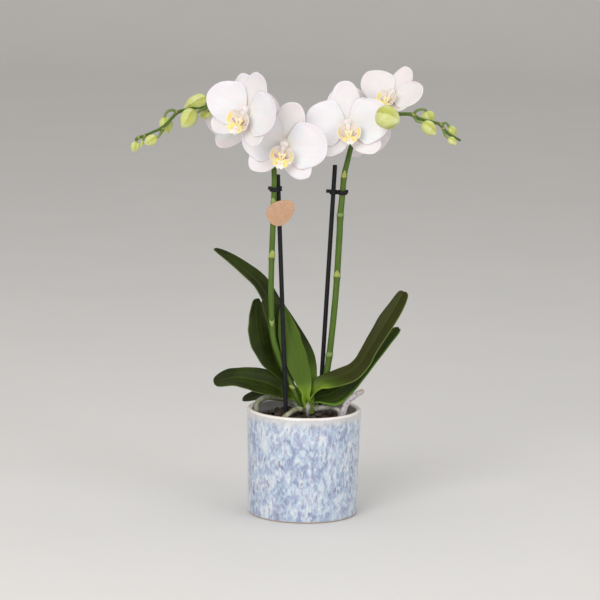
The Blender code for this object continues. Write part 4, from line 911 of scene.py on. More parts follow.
def bud_form(height, angle):
    """Three sepals that overlap, each with its edge standing out over the next, tapering to the tip."""
    phase = bud_phase(height, angle)
    overlap = BUD_OVERLAP * phase ** 5 * ease(-0.95, -0.4, height)
    ridge = BUD_RIDGE * np.cos(math.tau * (phase - 0.5))
    return (1 - BUD_TAPER * height - BUD_POINT * ease(0.35, 1.0, height)) * (1 + ridge + overlap)


def make_bract(made, start, way, reach, radii):
    """The small scale under a bud's or a flower's stalk, where it leaves the spike."""
    egg(made, start + way * reach, radii, SCALE, facing(way), 16, 10, lambda height, angle: 1 - 0.35 * height,
        tone=1.0)


def make_bud(made, bud, number):
    foot, tip = np.array(bud["foot"]), np.array(bud["tip"])
    way = unit(tip - foot)
    half = np.linalg.norm(tip - foot) / 2
    stalk = smooth_curve([*bud["stalk"], foot, foot + way * half * 0.5], steps=8)
    joint = bump_at(np.linspace(0, 1, len(stalk)), 0, 0.12)
    tube(made, stalk, BUD_STALK_RADIUS * (1 + 0.35 * joint), 14, STALK, ends=(0.3, 0.3), mark=0.0,
         pale=lambda along, angle: along)
    tone = 0.25 + 0.5 * ((number * 0.61) % 1)
    width = bud["width"] / 2
    turn = facing(way)
    seam = BUD_SEAM_RISE * turn[2] - turn[1]
    seam_at = math.atan2(seam[1], seam[0])
    egg(made, (foot + tip) / 2, (width, width, half), BUD, turn, 90, 30,
        lambda height, angle: bud_form(height, angle - seam_at), tone=tone,
        phase=lambda height, angle: bud_phase(height, angle - seam_at))
    start, second = np.array(bud["stalk"])[:2]
    make_bract(made, start, unit(second - start), BUD_BRACT_AT, BUD_BRACT)


def flower_stalk_curve(bloom):
    """The route from the spike to the back of a bloom, ending a gap short of it."""
    frame_of_bloom = bloom_frame(bloom)
    start = Vector(bloom["start"])
    back = frame_of_bloom @ Vector((0, 0, -HUB_BACK - HUB[2] - GAP / bloom["size"]))
    straight_back = (back - frame_of_bloom.translation).normalized()
    bend = back + straight_back * (back - start).length * FLOWER_STALK_BEND
    share = np.linspace(0, 1, 24)[:, None]
    start, bend, back = np.array(start), np.array(bend), np.array(back)
    return (start * (1 - share) + bend * share) * (1 - share) + (bend * (1 - share) + back * share) * share


def make_flower_stalk(made, bloom):
    curve = flower_stalk_curve(bloom)
    share = np.linspace(0, 1, len(curve))
    radii = FLOWER_STALK_RADIUS * (0.95 + 0.45 * bump_at(share, 0, 0.08) + 0.25 * ease(0.8, 1, share))
    tube(made, curve, radii, 18, STALK, ends=(0.3, 0.0), pale=lambda along, angle: 0.35 + 0.65 * along)
    make_bract(made, curve[0], unit(curve[1] - curve[0]), FLOWER_BRACT_AT, FLOWER_BRACT)


def make_spike(name):
    made = Shape()
    make_stalk(made, name)
    for node, look in zip(SPIKES[name]["nodes"], SCALES[name]):
        make_scale(made, name, node, look)
    for number, bud in enumerate(BUDS[name]):
        make_bud(made, bud, number)
    for bloom in BLOOMS.values():
        if bloom["spike"] == name:
            make_flower_stalk(made, bloom)
    piece(name, made, [stalk_material(), scale_material(), bud_material()])


# Blooms


def bloom_frame(bloom):
    """Bloom to world: x to the right of someone who faces the bloom, y up it, z out of its face."""
    turn = Matrix.Rotation(math.radians(-bloom["turn"]), 4, "Z")
    tip = Matrix.Rotation(math.radians(-bloom["tip"]), 4, "X")
    upright = Matrix.Rotation(math.radians(90), 4, "X")
    lean = Matrix.Rotation(math.radians(-bloom["lean"]), 4, "Z")
    return Matrix.Translation(bloom["middle"]) @ turn @ tip @ upright @ lean @ Matrix.Scale(bloom["size"], 4)


def bloom_tepal(name, number):
    """One of the five tepals, as it is on this bloom."""
    tepal = dict(TEPALS[number])
    change = SAME_TEPAL | TEPAL_CHANGES.get(name, {}).get(number, {})
    tepal["angle"] += change["turn"]
    tepal["length"] *= change["longer"]
    tepal["half_width"] *= change["wider"]
    return tepal


def tepal_place(tepal, cup, draw):
    """Maps along and across to a point of the bloom: a rounded blade on a narrow claw, softly rippled."""
    angle = math.radians(tepal["angle"])
    out = np.array((math.sin(angle), math.cos(angle), 0))
    side = np.array((math.cos(angle), -math.sin(angle), 0))
    bowl = math.tan(math.radians(cup)) / CUP_REACH
    phases = draw.uniform(0, math.tau, 4)
    sway = draw.uniform(-TEPAL_SWAY, TEPAL_SWAY)

    def place(along, across):
        corner = 1 - np.sqrt(1 - (TEPAL_CORNER * across) ** 2)
        end = tepal["length"] * (1 - tepal["roundness"] * corner)
        end = end * (1 + TEPAL_SCALLOP * np.sin(5 * across + phases[0]) * (1 - across ** 2))
        reach = TEPAL_ROOT + (end - TEPAL_ROOT) * along
        opening = np.sin(math.pi / 2 * np.minimum(along / tepal["widest"], 1)) ** 0.8
        past = np.maximum(0.0, (along - tepal["widest"]) / (1 - tepal["widest"]))
        half = CLAW + (tepal["half_width"] - CLAW) * opening * (1 - TEPAL_CLOSE * past * past)
        half = half * (1 + TEPAL_SCALLOP * np.sin(7 * along + phases[1] + across) * ease(0.2, 0.5, along))
        point = out * reach[..., None] + side * (half * across)[..., None]
        height = tepal["layer"] + bowl * np.sum(point ** 2, axis=-1) - TEPAL_ARCH * half * across * across
        rippled = ease(0.15, 0.75, along) * across ** 2 + 0.5 * ease(0.75, 1.0, along)
        height += TEPAL_RIPPLE * rippled * np.sin(6.5 * along + phases[2] + 2.2 * across)
        height += 0.5 * TEPAL_RIPPLE * rippled * np.sin(15 * along + phases[3] - 5 * across)
        groove = bump_at(across, 0, 0.16) * ease(0.0, 0.25, along) * (1 - ease(0.6, 0.95, along))
        height -= TEPAL_GROOVE * groove
        height += sway * along ** 2
        return point + UP * height[..., None]

    return place


def make_column(made):
    """The white column, with its cap and the foot that runs down to the lip."""
    # under says how much painted shade, the beige of the hollow beneath the column, each part gets
    egg(made, COLUMN_MIDDLE, COLUMN, COLUMN_PART, around=40, rows=28, under=1.0)
    egg(made, CAP_MIDDLE, CAP, COLUMN_PART, around=32, rows=20,
        cap=lambda height, angle: ease(0.78, 0.95, height))
    foot = smooth_curve(COLUMN_FOOT, steps=6)
    places = np.linspace(0, 1, len(COLUMN_FOOT_RADII))
    radii = np.interp(np.linspace(0, 1, len(foot)), places, COLUMN_FOOT_RADII)
    tube(made, foot, radii, 20, COLUMN_PART, ends=(0.8, 0.8), under=0.35)


def make_bloom(name, number):
    """Three sepals behind two broad petals, with the column at the middle."""
    bloom = BLOOMS[name]
    draw = np.random.default_rng(40 + number)
    made = Shape()
    egg(made, (0, 0, -HUB_BACK), HUB_WIDE, PETAL_PART, along=0.0)
    for part in range(len(TEPALS)):
        tepal = bloom_tepal(name, part)
        place = tepal_place(tepal, bloom["cup"], draw)
        sheet(made, place, TEPAL_ROWS, TEPAL_COLUMNS, TEPAL_THICKNESS, PETAL_PART,
              tone=draw.uniform(0, 1), sepal=float(tepal["layer"] < 0), blush=bloom.get("blush", 0.0))
    make_column(made)
    made.move(bloom_frame(bloom))
    piece(name, made, [petal_material(), column_material()], sharp_angle=80)


def bowl_place(along, across):
    """The lip's bowl: across runs round it from the end of one side lobe to the end of the other."""
    angle = -across * BOWL_REACH
    notch = NOTCH_DEPTH * bump_at(np.abs(angle), NOTCH_AT, NOTCH_WIDTH)
    end = 1 - 0.13 * np.maximum(0.0, (np.abs(angle) - 110) / (BOWL_REACH - 110)) ** 2
    end = end * (1 + 0.012 * np.sin(np.radians(angle * 8)))
    radius = BOWL_INNER_RADIUS + (BOWL_RADIUS * (1 - notch) * end - BOWL_INNER_RADIUS) * along
    x = BOWL_MIDDLE[0] + radius * np.sin(np.radians(angle))
    y = BOWL_MIDDLE[1] - radius * np.cos(np.radians(angle))
    wing = 0.14 * bump_at(np.abs(angle), 95, 40)
    return np.stack([x, y, BOWL_FLOOR + BOWL_DEPTH * along ** 2 * (1 + wing)], axis=-1)


def bowl_marks(along, across, middle):
    """Where the bowl is yellow and magenta."""
    angle = np.abs(across) * BOWL_REACH
    radius = np.hypot(middle[..., 0] - BOWL_MIDDLE[0], middle[..., 1] - BOWL_MIDDLE[1])
    crescent = ease(0.62, 0.80, along) * (1 - ease(0.90, 0.98, along)) * ease(56, 66, angle)
    crescent = crescent * (1 - 0.9 * ease(95, 132, angle))
    wing = ease(0.45, 0.75, along) * (1 - ease(0.92, 1.0, along))
    wing = wing * ease(26, 36, angle) * (1 - ease(46, 56, angle))
    line = STREAK_START + (angle - 50) * STREAK_RISE
    lines = sum(strength * bump_at(radius, line + aside, STREAK_WIDTH) for aside, strength in STREAK_LINES)
    magenta = np.clip(lines, 0, 1) * ease(44, 54, angle) * (1 - ease(84, 98, angle))
    return dict(yellow=np.maximum(crescent, 0.9 * wing), magenta=magenta)


def middle_lobe_place(along, across):
    """The middle lobe: a trowel that reaches forward and down, with a scalloped end."""
    span_start, span_end = MIDDLE_LOBE_SPAN
    across = -across
    wave = np.sin(math.pi * (span_start + (span_end - span_start) * along))
    half = MIDDLE_LOBE_NECK + MIDDLE_LOBE_HALF_WIDTH * wave ** 1.1
    curl = MIDDLE_LOBE_CURL * across * across
    start_y, start_z = MIDDLE_LOBE_FROM
    end_y, end_z = MIDDLE_LOBE_TO
    scallop = MIDDLE_LOBE_SCALLOP * np.cos(across * 7) * along ** 8
    y = start_y + (end_y - start_y) * along + curl + scallop
    z = start_z + (end_z - start_z) * np.sin(math.pi / 2 * along) + curl
    z = z - MIDDLE_LOBE_GROOVE * bump_at(across, 0, 0.2)
    return np.stack([half * across, y, z], axis=-1)


def middle_lobe_marks(along, across, middle):
    """Where the middle lobe is yellow and orange."""
    wings = ease(0.25, 0.60, np.abs(across)) * (1 - ease(0.70, 0.92, along))
    yellow = np.maximum(wings, 0.25 * (1 - ease(0.15, 0.50, along)))
    flat = middle[..., :2]
    spots = sum(bump_at(np.linalg.norm(flat - spot, axis=-1), 0, LIP_SPOT_WIDTH) for spot in LIP_SPOTS)
    return dict(yellow=yellow, orange=np.clip(spots, 0, 1))


def make_callus(made):
    """The yellow bump in the bowl, with two arms that end in orange."""
    egg(made, LIP_FOOT_MIDDLE, LIP_FOOT, yellow=0.10)
    for side in (-1, 1):
        arm = smooth_curve([(side * x, y, z) for x, y, z in CALLUS_ARM], steps=8)
        radii = np.linspace(*CALLUS_ARM_RADII, len(arm))
        tube(made, arm, radii, 18, ends=(0.6, 0.9), yellow=0.58,
             orange=lambda along, angle: 0.68 * ease(0.66, 0.95, along))


def make_lip(name):
    made = Shape()
    sheet(made, bowl_place, 30, 110, LIP_THICKNESS, marks=bowl_marks)
    sheet(made, middle_lobe_place, 30, 28, LIP_THICKNESS, marks=middle_lobe_marks)
    make_callus(made)
    change = LIP_CHANGES.get(name, SAME_LIP)
    droop = Matrix.Rotation(math.radians(change["droop"]), 4, "X") @ Matrix.Scale(change["larger"], 4)
    made.move(bloom_frame(BLOOMS[name]) @ droop)
    piece(name + "_lip", made, [lip_material()], sharp_angle=80)


# Stakes, clips and tag


def stake_point(name, z):
    low, high = (np.array(STAKES[name][end]) for end in ("low", "high"))
    return low + (high - low) * (z - low[2]) / (high[2] - low[2])


def make_stake(name):
    foot = stake_point(name, STAKE_FOOT_Z)
    top = stake_point(name, STAKES[name]["high"][2] - STAKE_TOP_DROP)
    curve = foot + (top - foot) * np.linspace(0, 1, 40)[:, None]
    made = Shape()
    tube(made, curve, STAKE_RADIUS, 32, ends=(0.2, 0.3))
    piece(name, made, [black_plastic()])


def clip_ring(made, middle, inner, height):
    """A ring with rounded edges and a shallow groove round its outside."""
    outer = inner + CLIP_WALL
    floor = outer - CLIP_GROOVE_DEPTH
    inner_corner, outer_corner = inner + CLIP_BEVEL, outer - CLIP_BEVEL
    top = height / 2 - CLIP_BEVEL
    profile = [(inner, -top), (inner, top)]
    profile += arc((inner_corner, top), CLIP_BEVEL, 180, 90, 3)
    profile += arc((outer_corner, top), CLIP_BEVEL, 90, 0, 3)
    profile += [(outer, CLIP_GROOVE), (floor, CLIP_GROOVE_FLOOR)]
    profile += [(floor, -CLIP_GROOVE_FLOOR), (outer, -CLIP_GROOVE)]
    profile += arc((outer_corner, -top), CLIP_BEVEL, 0, -90, 3)
    profile += arc((inner_corner, -top), CLIP_BEVEL, 270, 180, 3)
    rings(made, turned(profile[::-1], CLIP_SIDES) + middle, closed=True)


def make_clip(name):
    clip = CLIPS[name]
    curve = smooth_curve(SPIKES[clip["spike"]]["route"])
    stem = at_share(curve, share_at_height(curve, clip["z"]))
    rod = stake_point(clip["stake"], clip["z"])
    made = Shape()
    clip_ring(made, stem, SPIKES[clip["spike"]]["foot_radius"] + GAP, CLIP_HEIGHT)
    clip_ring(made, rod, STAKE_RADIUS + GAP, CLIP_HEIGHT * 0.98)
    between = rod - stem
    turn = math.atan2(between[1], between[0])
    bar_length = np.linalg.norm(between) - 2 * STAKE_RADIUS - CLIP_BAR_SHORTER
    bar = (bar_length, CLIP_WALL * 1.5, CLIP_HEIGHT * 0.9)
    rounded_box(made, (stem + rod) / 2, bar, CLIP_BEVEL, turn)
    for ear_x, ear_y in clip["ears"]:
        middle = stem + (ear_x - math.copysign(CLIP_EAR / 2, ear_x), ear_y, CLIP_EAR_RISE)
        rounded_box(made, middle, (CLIP_EAR, CLIP_WALL, CLIP_HEIGHT * 0.8), CLIP_EAR_BEVEL)
    piece(name, made, [black_plastic()])


def make_tag():
    """A blank card, egg-shaped, flat against the front of the left spike."""
    angle = full_turn(120)
    along = TAG_LENGTH / 2 * np.cos(angle)
    across = TAG_WIDTH / 2 * np.sin(angle) * (1 - TAG_EGG * np.cos(angle))
    spike = SPIKES["spike_left"]
    curve = smooth_curve(spike["route"])
    x, z = TAG_MIDDLE
    stem = at_share(curve, share_at_height(curve, z))
    front = stem[1] - spike["foot_radius"] * (1 + 2 * NODE_SWELLING) - TAG_CLEAR
    place = Matrix.Translation((x, front - GAP - TAG_THICKNESS / 2, z))
    place @= Matrix.Rotation(math.radians(90), 4, "X") @ Matrix.Rotation(math.radians(TAG_LEAN), 4, "Z")
    made = Shape()
    slab(made, np.column_stack([along, across]), -TAG_THICKNESS / 2, TAG_THICKNESS / 2, TAG_BEVEL, place)
    piece("tag", made, [kraft_card()])


# Materials


class Paint:
    """One material. Its colour is laid on in layers, each with where and how strongly it covers."""

    def __init__(self, name, **settings):
        self.material = bpy.data.materials.new(name)
        self.material.use_nodes = True
        self.tree = self.material.node_tree
        self.shader = self.tree.nodes["Principled BSDF"]
        self.colour = None
        for socket, value in settings.items():
            self.shader.inputs[socket.replace("_", " ")].default_value = value

    def node(self, kind, inputs=None, **settings):
        made = self.tree.nodes.new("ShaderNode" + kind)
        for name, value in settings.items():
            setattr(made, name, value)
        for socket, value in (inputs or {}).items():
            self.put(made.inputs[socket], value)
        return made

    def put(self, socket, value):
        if isinstance(value, bpy.types.NodeSocket):
            self.tree.links.new(value, socket)
        elif isinstance(value, tuple) and len(value) == 3 and socket.type == "RGBA":
            socket.default_value = (*value, 1)
        else:
            socket.default_value = value

    def value(self, name):
        """A value stored per point of the mesh."""
        return self.node("Attribute", attribute_name=name).outputs["Fac"]

    def compute(self, operation, *values):
        made = self.node("Math", operation=operation)
        for socket, value in zip(made.inputs, values):
            self.put(socket, value)
        return made.outputs["Value"]

    def size(self, name):
        """A stored value without its sign."""
        return self.compute("ABSOLUTE", self.value(name))

    def times(self, first, second):
        return self.compute("MULTIPLY", first, second)

    def plus(self, first, second):
        return self.compute("ADD", first, second)

    def scaled(self, value, factor, added):
        """The value times the factor, plus what is added."""
        return self.compute("MULTIPLY_ADD", value, factor, added)

    def band(self, value, low, high):
        """0 below low and 1 above high; turned round if low is above high."""
        made = self.node("MapRange", interpolation_type="SMOOTHSTEP")
        ends = (low, high, 0.0, 1.0) if low < high else (high, low, 1.0, 0.0)
        for socket, given in zip(made.inputs, (value, *ends)):
            self.put(socket, given)
        return made.outputs["Result"]

    def place(self, scale, turn=(0, 0, 0)):
        """The point's own coordinates in metres, times one number or three."""
        scale = scale if isinstance(scale, tuple) else (scale, scale, scale)
        coordinates = self.node("TexCoord").outputs["Object"]
        made = self.node("Mapping", {"Vector": coordinates, "Scale": scale, "Rotation": turn})
        return made.outputs["Vector"]

    def along_across(self, along_scale, across_scale):
        """Coordinates that follow the piece: its along and across values, apart for each tone."""
        along = self.times(self.value("along"), along_scale)
        across = self.times(self.value("across"), across_scale)
        tone = self.times(self.value("tone"), 9.0)
        return self.node("CombineXYZ", {"X": along, "Y": across, "Z": tone}).outputs["Vector"]

    def noise(self, where, detail=4.0, roughness=0.55, distortion=0.0, turn=(0, 0, 0)):
        """Noise in the point's own coordinates times where, or in the coordinates that where gives."""
        vector = where if isinstance(where, bpy.types.NodeSocket) else self.place(where, turn)
        return self.node("TexNoise", {"Vector": vector, "Scale": 1.0, "Detail": detail,
                                      "Roughness": roughness, "Distortion": distortion}).outputs["Fac"]

    def cells(self, scale):
        """The distance to the middle of the nearest of many scattered cells."""
        return self.node("TexVoronoi", {"Vector": self.place(scale), "Scale": 1.0}).outputs["Distance"]

    def mix(self, share, first, second):
        made = self.node("Mix", data_type="RGBA")
        for socket, value in ((0, share), (6, first), (7, second)):
            self.put(made.inputs[socket], value)
        return made.outputs[2]

    def base(self, share, first, second):
        self.colour = self.mix(share, first, second)

    def layer(self, colour, share, strength=None):
        """Covers what is there with a colour, where share is 1, as strongly as is said."""
        share = share if strength is None else self.times(share, strength)
        self.colour = self.mix(share, self.colour, colour)

    def bump(self, height, distance, strength, before=None):
        made = self.node("Bump", {"Height": height, "Distance": distance, "Strength": strength})
        if before:
            self.put(made.inputs["Normal"], before)
        return made.outputs["Normal"]

    def done(self, roughness, normal=None):
        for name, value in (("Base Color", self.colour), ("Roughness", roughness), ("Normal", normal)):
            if value is not None:
                self.put(self.shader.inputs[name], value)
        return self.material


def below_rim(depths):
    return [POT_HEIGHT - depth for depth in depths]


@cache
def glaze():
    """Short streaks of blue, white and lavender, dark specks, and a cream body that shows at the rim."""
    n = Paint("glaze", Coat_Weight=0.5, Coat_Roughness=0.08)
    streaks = n.noise((255, 255, 145), 4.0, 0.58, 0.6)
    broad = n.noise((75, 75, 40), 3.0, 0.5)
    mixed = n.scaled(broad, 0.35, n.times(streaks, 0.65))
    n.base(n.band(mixed, 0.37, 0.53), (0.26, 0.32, 0.47), (0.49, 0.59, 0.71))
    n.layer((0.69, 0.73, 0.76), n.band(mixed, 0.49, 0.62))
    lavender = n.noise((240, 240, 125), 3.0, 0.55, turn=(0.3, 0, 0.2))
    n.layer((0.33, 0.31, 0.49), n.band(lavender, 0.52, 0.66), 0.7)
    height = n.node("SeparateXYZ", {"Vector": n.node("TexCoord").outputs["Object"]}).outputs["Z"]
    high = n.band(height, *below_rim(GLAZE_MORE_SPECKS))
    dark = n.noise((230, 230, 125), 3.0, 0.5, turn=(0.1, 0.2, 0))
    specks = n.scaled(high, 0.020, n.scaled(broad, -0.06, dark))
    n.layer((0.20, 0.165, 0.24), n.band(specks, 0.575, 0.700), 0.75)
    brown = n.noise((210, 210, 110), 2.0, turn=(0, 0.1, 0.5))
    n.layer((0.20, 0.11, 0.06), n.band(brown, 0.725, 0.79), 0.8)
    wobble = n.scaled(n.noise((240, 240, 30), 3.0), GLAZE_THIN_WOBBLE, height)
    n.layer((0.63, 0.61, 0.58), n.band(wobble, *below_rim(GLAZE_THIN)), 0.80)
    n.layer((0.50, 0.48, 0.46), n.value("inside"), 0.85)
    n.layer((0.88, 0.81, 0.76), n.band(height, *below_rim(GLAZE_RIM)))
    bare = n.band(n.scaled(n.noise(60), GLAZE_FOOT_WOBBLE, height), *GLAZE_FOOT)
    n.layer((0.56, 0.47, 0.38), bare)
    roughness = n.scaled(bare, 0.45, n.scaled(streaks, 0.12, 0.16))
    return n.done(roughness, n.bump(streaks, 0.0004, 0.5))


@cache
def clear_plastic():
    n = Paint("clear plastic", Base_Color=(0.72, 0.75, 0.72, 1), Transmission_Weight=0.75, IOR=1.46)
    scuffs = n.noise((400, 400, 900))
    return n.done(n.scaled(scuffs, 0.2, 0.12), n.bump(scuffs, 0.0001, 0.4))


@cache
def bark_material():
    """Dark fibrous bark, some chips redder, with small pale specks painted on as glints."""
    n = Paint("bark", Coat_Weight=0.3, Coat_Roughness=0.25)
    fibres = n.noise((420, 1400, 900), 6.0, 0.65, 0.8, (0.4, 0.7, 0.2))
    lumps = n.noise(260, 5.0, 0.6)
    n.base(n.band(fibres, 0.35, 0.68), (0.010, 0.007, 0.005), (0.060, 0.036, 0.020))
    n.layer((0.11, 0.060, 0.034), n.band(n.value("tone"), 0.5, 1.0), 0.6)
    # painted highlights: small pale specks that stand in for glints on the chips
    n.layer((0.55, 0.53, 0.48), n.band(n.cells(700), 0.16, 0.06), n.band(lumps, 0.52, 0.60))
    normal = n.bump(fibres, 0.0008, 0.9, n.bump(lumps, 0.0012, 0.8))
    return n.done(n.scaled(lumps, 0.3, 0.55), normal)


@cache
def crown_material():
    n = Paint("crown")
    streaks = n.noise((500, 500, 60))
    n.base(n.band(streaks, 0.35, 0.65), (0.17, 0.29, 0.035), (0.28, 0.42, 0.06))
    return n.done(0.45, n.bump(streaks, 0.0003, 0.4))


@cache
def leaf_material():
    """Deep green with fine lengthwise veins, paler at the midrib, on the underside and toward the foot."""
    n = Paint("leaf green", Coat_Weight=0.02, Coat_Roughness=0.35, Specular_IOR_Level=0.12,
              Subsurface_Weight=0.05, Subsurface_Scale=0.002)
    across, young = n.size("across"), n.value("young")
    mottle = n.noise(180, 5.0, 0.6)
    patches = n.noise(38, 3.0, 0.5)
    veins = n.noise(n.along_across(1.6, 38.0), 3.0, 0.5)
    n.base(n.band(patches, 0.35, 0.68), (0.013, 0.018, 0.0025), (0.024, 0.036, 0.004))
    n.layer((0.035, 0.036, 0.005), n.value("olive"), 0.85)
    n.layer((0.034, 0.052, 0.006), n.band(mottle, 0.45, 0.75), 0.30)
    n.layer((0.075, 0.135, 0.012), young, 0.85)
    n.layer((0.080, 0.140, 0.018), n.band(veins, 0.50, 0.66), n.scaled(young, 0.16, 0.22))
    n.layer((0.09, 0.15, 0.022), n.band(across, 0.07, 0.010), 0.40)
    n.layer((0.10, 0.16, 0.035), n.band(n.value("side"), 0.3, -0.3), 0.75)
    reached = n.scaled(n.value("across"), n.times(n.value("olive"), -0.09), n.value("along"))
    foot = n.compute("DIVIDE", n.scaled(veins, 0.08, reached), n.value("foot"))
    n.layer((0.075, 0.140, 0.012), n.band(foot, 1.35, 0.9), 0.45)
    n.layer((0.185, 0.300, 0.024), n.band(foot, 1.0, 0.45), 0.9)
    # painted highlight: a bright strip along every leaf's edge, stronger where rim says
    n.layer((0.17, 0.26, 0.05), n.band(across, 0.955, 0.99), n.scaled(n.value("rim"), 0.35, 0.45))
    # painted highlight: a wider, lighter band toward the edges where rim says
    outer = n.times(n.band(n.value("across"), 0.80, 0.90), n.value("rim"))
    n.layer((0.12, 0.23, 0.03), outer, 0.75)
    normal = n.bump(veins, 0.0005, 0.35, n.bump(mottle, 0.0003, 0.30))
    return n.done(n.scaled(mottle, 0.16, 0.34), normal)


@cache
def root_material():
    """A green root under a silver skin that breaks up into flecks, with a glassy sheen."""
    n = Paint("root", Coat_Weight=0.40, Coat_Roughness=0.15, Subsurface_Weight=0.10, Subsurface_Scale=0.002)
    flecks = n.noise(620, 5.0, 0.65)
    patches = n.noise(150)
    tone = n.value("tone")
    n.base(n.band(patches, 0.40, 0.62), (0.22, 0.25, 0.11), (0.42, 0.43, 0.30))
    broken = n.scaled(patches, 1.4, n.times(flecks, 0.5))
    silver = n.plus(tone, n.plus(broken, -0.95))
    n.layer((0.43, 0.405, 0.40), n.band(silver, 0.15, 0.90))
    n.layer((0.20, 0.12, 0.16), n.band(n.noise(430, 3.0, 0.6), 0.55, 0.63), n.times(tone, 0.75))
    n.layer((0.42, 0.28, 0.17), n.times(n.band(n.value("along"), 0.90, 0.98), tone), 0.7)
    # near-black brown past the middle where dark_end says
    n.layer((0.035, 0.026, 0.018), n.value("soil"))
    return n.done(n.scaled(flecks, 0.3, 0.32), n.bump(flecks, 0.0005, 0.5))


@cache
def stalk_material():
    """Green with fine streaks, a brown ring at each node, paler toward a flower."""
    n = Paint("stalk green", Subsurface_Weight=0.06, Subsurface_Scale=0.001, Specular_IOR_Level=0.30)
    streaks = n.noise((900, 900, 70))
    patches = n.noise((160, 160, 60), 3.0, 0.5)
    n.base(n.band(streaks, 0.30, 0.72), (0.058, 0.115, 0.009), (0.082, 0.150, 0.016))
    n.layer((0.105, 0.165, 0.022), n.band(patches, 0.45, 0.7), 0.35)
    n.layer((0.46, 0.56, 0.24), n.value("pale"), 0.55)
    n.layer((0.11, 0.11, 0.025), n.value("mark"), 0.50)
    return n.done(n.scaled(streaks, 0.2, 0.34), n.bump(streaks, 0.0003, 0.4))


@cache
def scale_material():
    """Straw yellow; browner where tone says and greener where green says."""
    n = Paint("scale", Subsurface_Weight=0.1, Subsurface_Scale=0.001)
    streaks = n.noise((900, 900, 120))
    n.base(n.band(streaks, 0.35, 0.68), (0.31, 0.36, 0.06), (0.42, 0.46, 0.11))
    n.layer((0.26, 0.22, 0.08), n.value("tone"), 0.75)
    n.layer((0.15, 0.24, 0.07), n.value("green"), 0.8)
    n.layer((0.20, 0.26, 0.05), n.band(n.size("across"), 0.75, 1.0), 0.4)
    return n.done(0.5, n.bump(streaks, 0.0002, 0.4))


@cache
def bud_material():
    """Pale yellow-green, with a darker line at each seam and painted shade on the sepal beside it."""
    n = Paint("bud", Subsurface_Weight=0.15, Subsurface_Scale=0.002)
    cloud = n.noise(170)
    phase = n.value("phase")
    n.base(n.band(cloud, 0.35, 0.68), (0.58, 0.61, 0.20), (0.67, 0.69, 0.32))
    n.layer((0.36, 0.48, 0.07), n.value("tone"), 0.35)
    # painted shade: the sepal darkens toward the seam, where the next sepal's edge lies over it
    n.layer((0.41, 0.43, 0.05), n.band(phase, 0.50, 0.10), 0.80)
    # a darker line along each seam
    n.layer((0.30, 0.32, 0.05), n.band(phase, 0.06, 0.01), 0.55)
    n.layer((0.72, 0.72, 0.50), n.band(n.scaled(cloud, 0.2, n.value("along")), 0.85, 1.1), 0.35)
    return n.done(0.42, n.bump(cloud, 0.0003, 0.4))


@cache
def petal_material():
    """White, creamy at the foot and on the sepals, with a trace of lilac near the edge and faint veins."""
    n = Paint("white petal", Subsurface_Weight=0.20, Subsurface_Scale=0.003, Specular_IOR_Level=0.30)
    along, across = n.value("along"), n.size("across")
    veins = n.noise(n.along_across(1.6, 11.0), 2.0, 0.5, 0.3)
    grain = n.noise(1500, 3.0)
    n.base(n.band(veins, 0.35, 0.65), (0.795, 0.772, 0.795), (0.810, 0.790, 0.808))
    n.layer((0.785, 0.752, 0.755), n.value("sepal"), 0.75)
    outer = n.compute("MAXIMUM", across, along)
    n.layer((0.76, 0.66, 0.75), n.times(n.band(outer, 0.70, 0.94), n.band(outer, 0.995, 0.965)), 0.22)
    n.layer((0.755, 0.690, 0.675), n.value("blush"), 0.8)
    n.layer((0.76, 0.71, 0.58), n.band(along, 0.34, 0.0), 0.50)
    midline = n.times(n.band(across, 0.6, 0.0), n.band(along, 0.9, 0.1))
    n.layer((0.68, 0.65, 0.42), n.times(midline, n.band(n.value("side"), 0.3, -0.3)), 0.55)
    normal = n.bump(veins, 0.0003, 0.07, n.bump(grain, 0.00006, 0.20))
    return n.done(n.scaled(grain, 0.12, 0.46), normal)


@cache
def column_material():
    n = Paint("column", Subsurface_Weight=0.25, Subsurface_Scale=0.002)
    cloud = n.noise(700, 3.0)
    # painted shade: the beige of the shaded hollow under the column, all over its body and part way on its
    # foot
    n.base(n.value("under"), (0.86, 0.79, 0.78), (0.76, 0.66, 0.57))
    n.layer((0.90, 0.62, 0.52), n.value("cap"), n.band(cloud, 0.2, 0.6))
    return n.done(0.38, n.bump(cloud, 0.0002, 0.3))


@cache
def lip_material():
    """White, with yellow, magenta and orange where the marks say."""
    n = Paint("lip", Subsurface_Weight=0.20, Subsurface_Scale=0.002)
    cloud = n.noise(600)
    wobble = n.scaled(cloud, 0.5, -0.25)
    n.base(n.band(cloud, 0.3, 0.7), (0.82, 0.76, 0.70), (0.86, 0.82, 0.78))
    yellow = n.scaled(wobble, n.value("yellow"), n.value("yellow"))
    n.layer((0.95, 0.76, 0.17), n.band(yellow, 0.10, 0.95), 0.88)
    magenta = n.band(n.plus(n.value("magenta"), wobble), 0.35, 0.75)
    n.layer((0.56, 0.12, 0.38), n.times(magenta, n.band(n.value("side"), -0.3, 0.3)), 0.90)
    n.layer((0.80, 0.33, 0.05), n.band(n.plus(n.value("orange"), wobble), 0.45, 0.90), 0.75)
    return n.done(0.40, n.bump(cloud, 0.0002, 0.4))


@cache
def black_plastic():
    n = Paint("black plastic", Specular_IOR_Level=0.18)
    grain = n.noise((1200, 1200, 300))
    n.base(n.band(grain, 0.4, 0.7), (0.009, 0.009, 0.011), (0.018, 0.018, 0.020))
    return n.done(n.scaled(grain, 0.25, 0.40), n.bump(grain, 0.0002, 0.4))


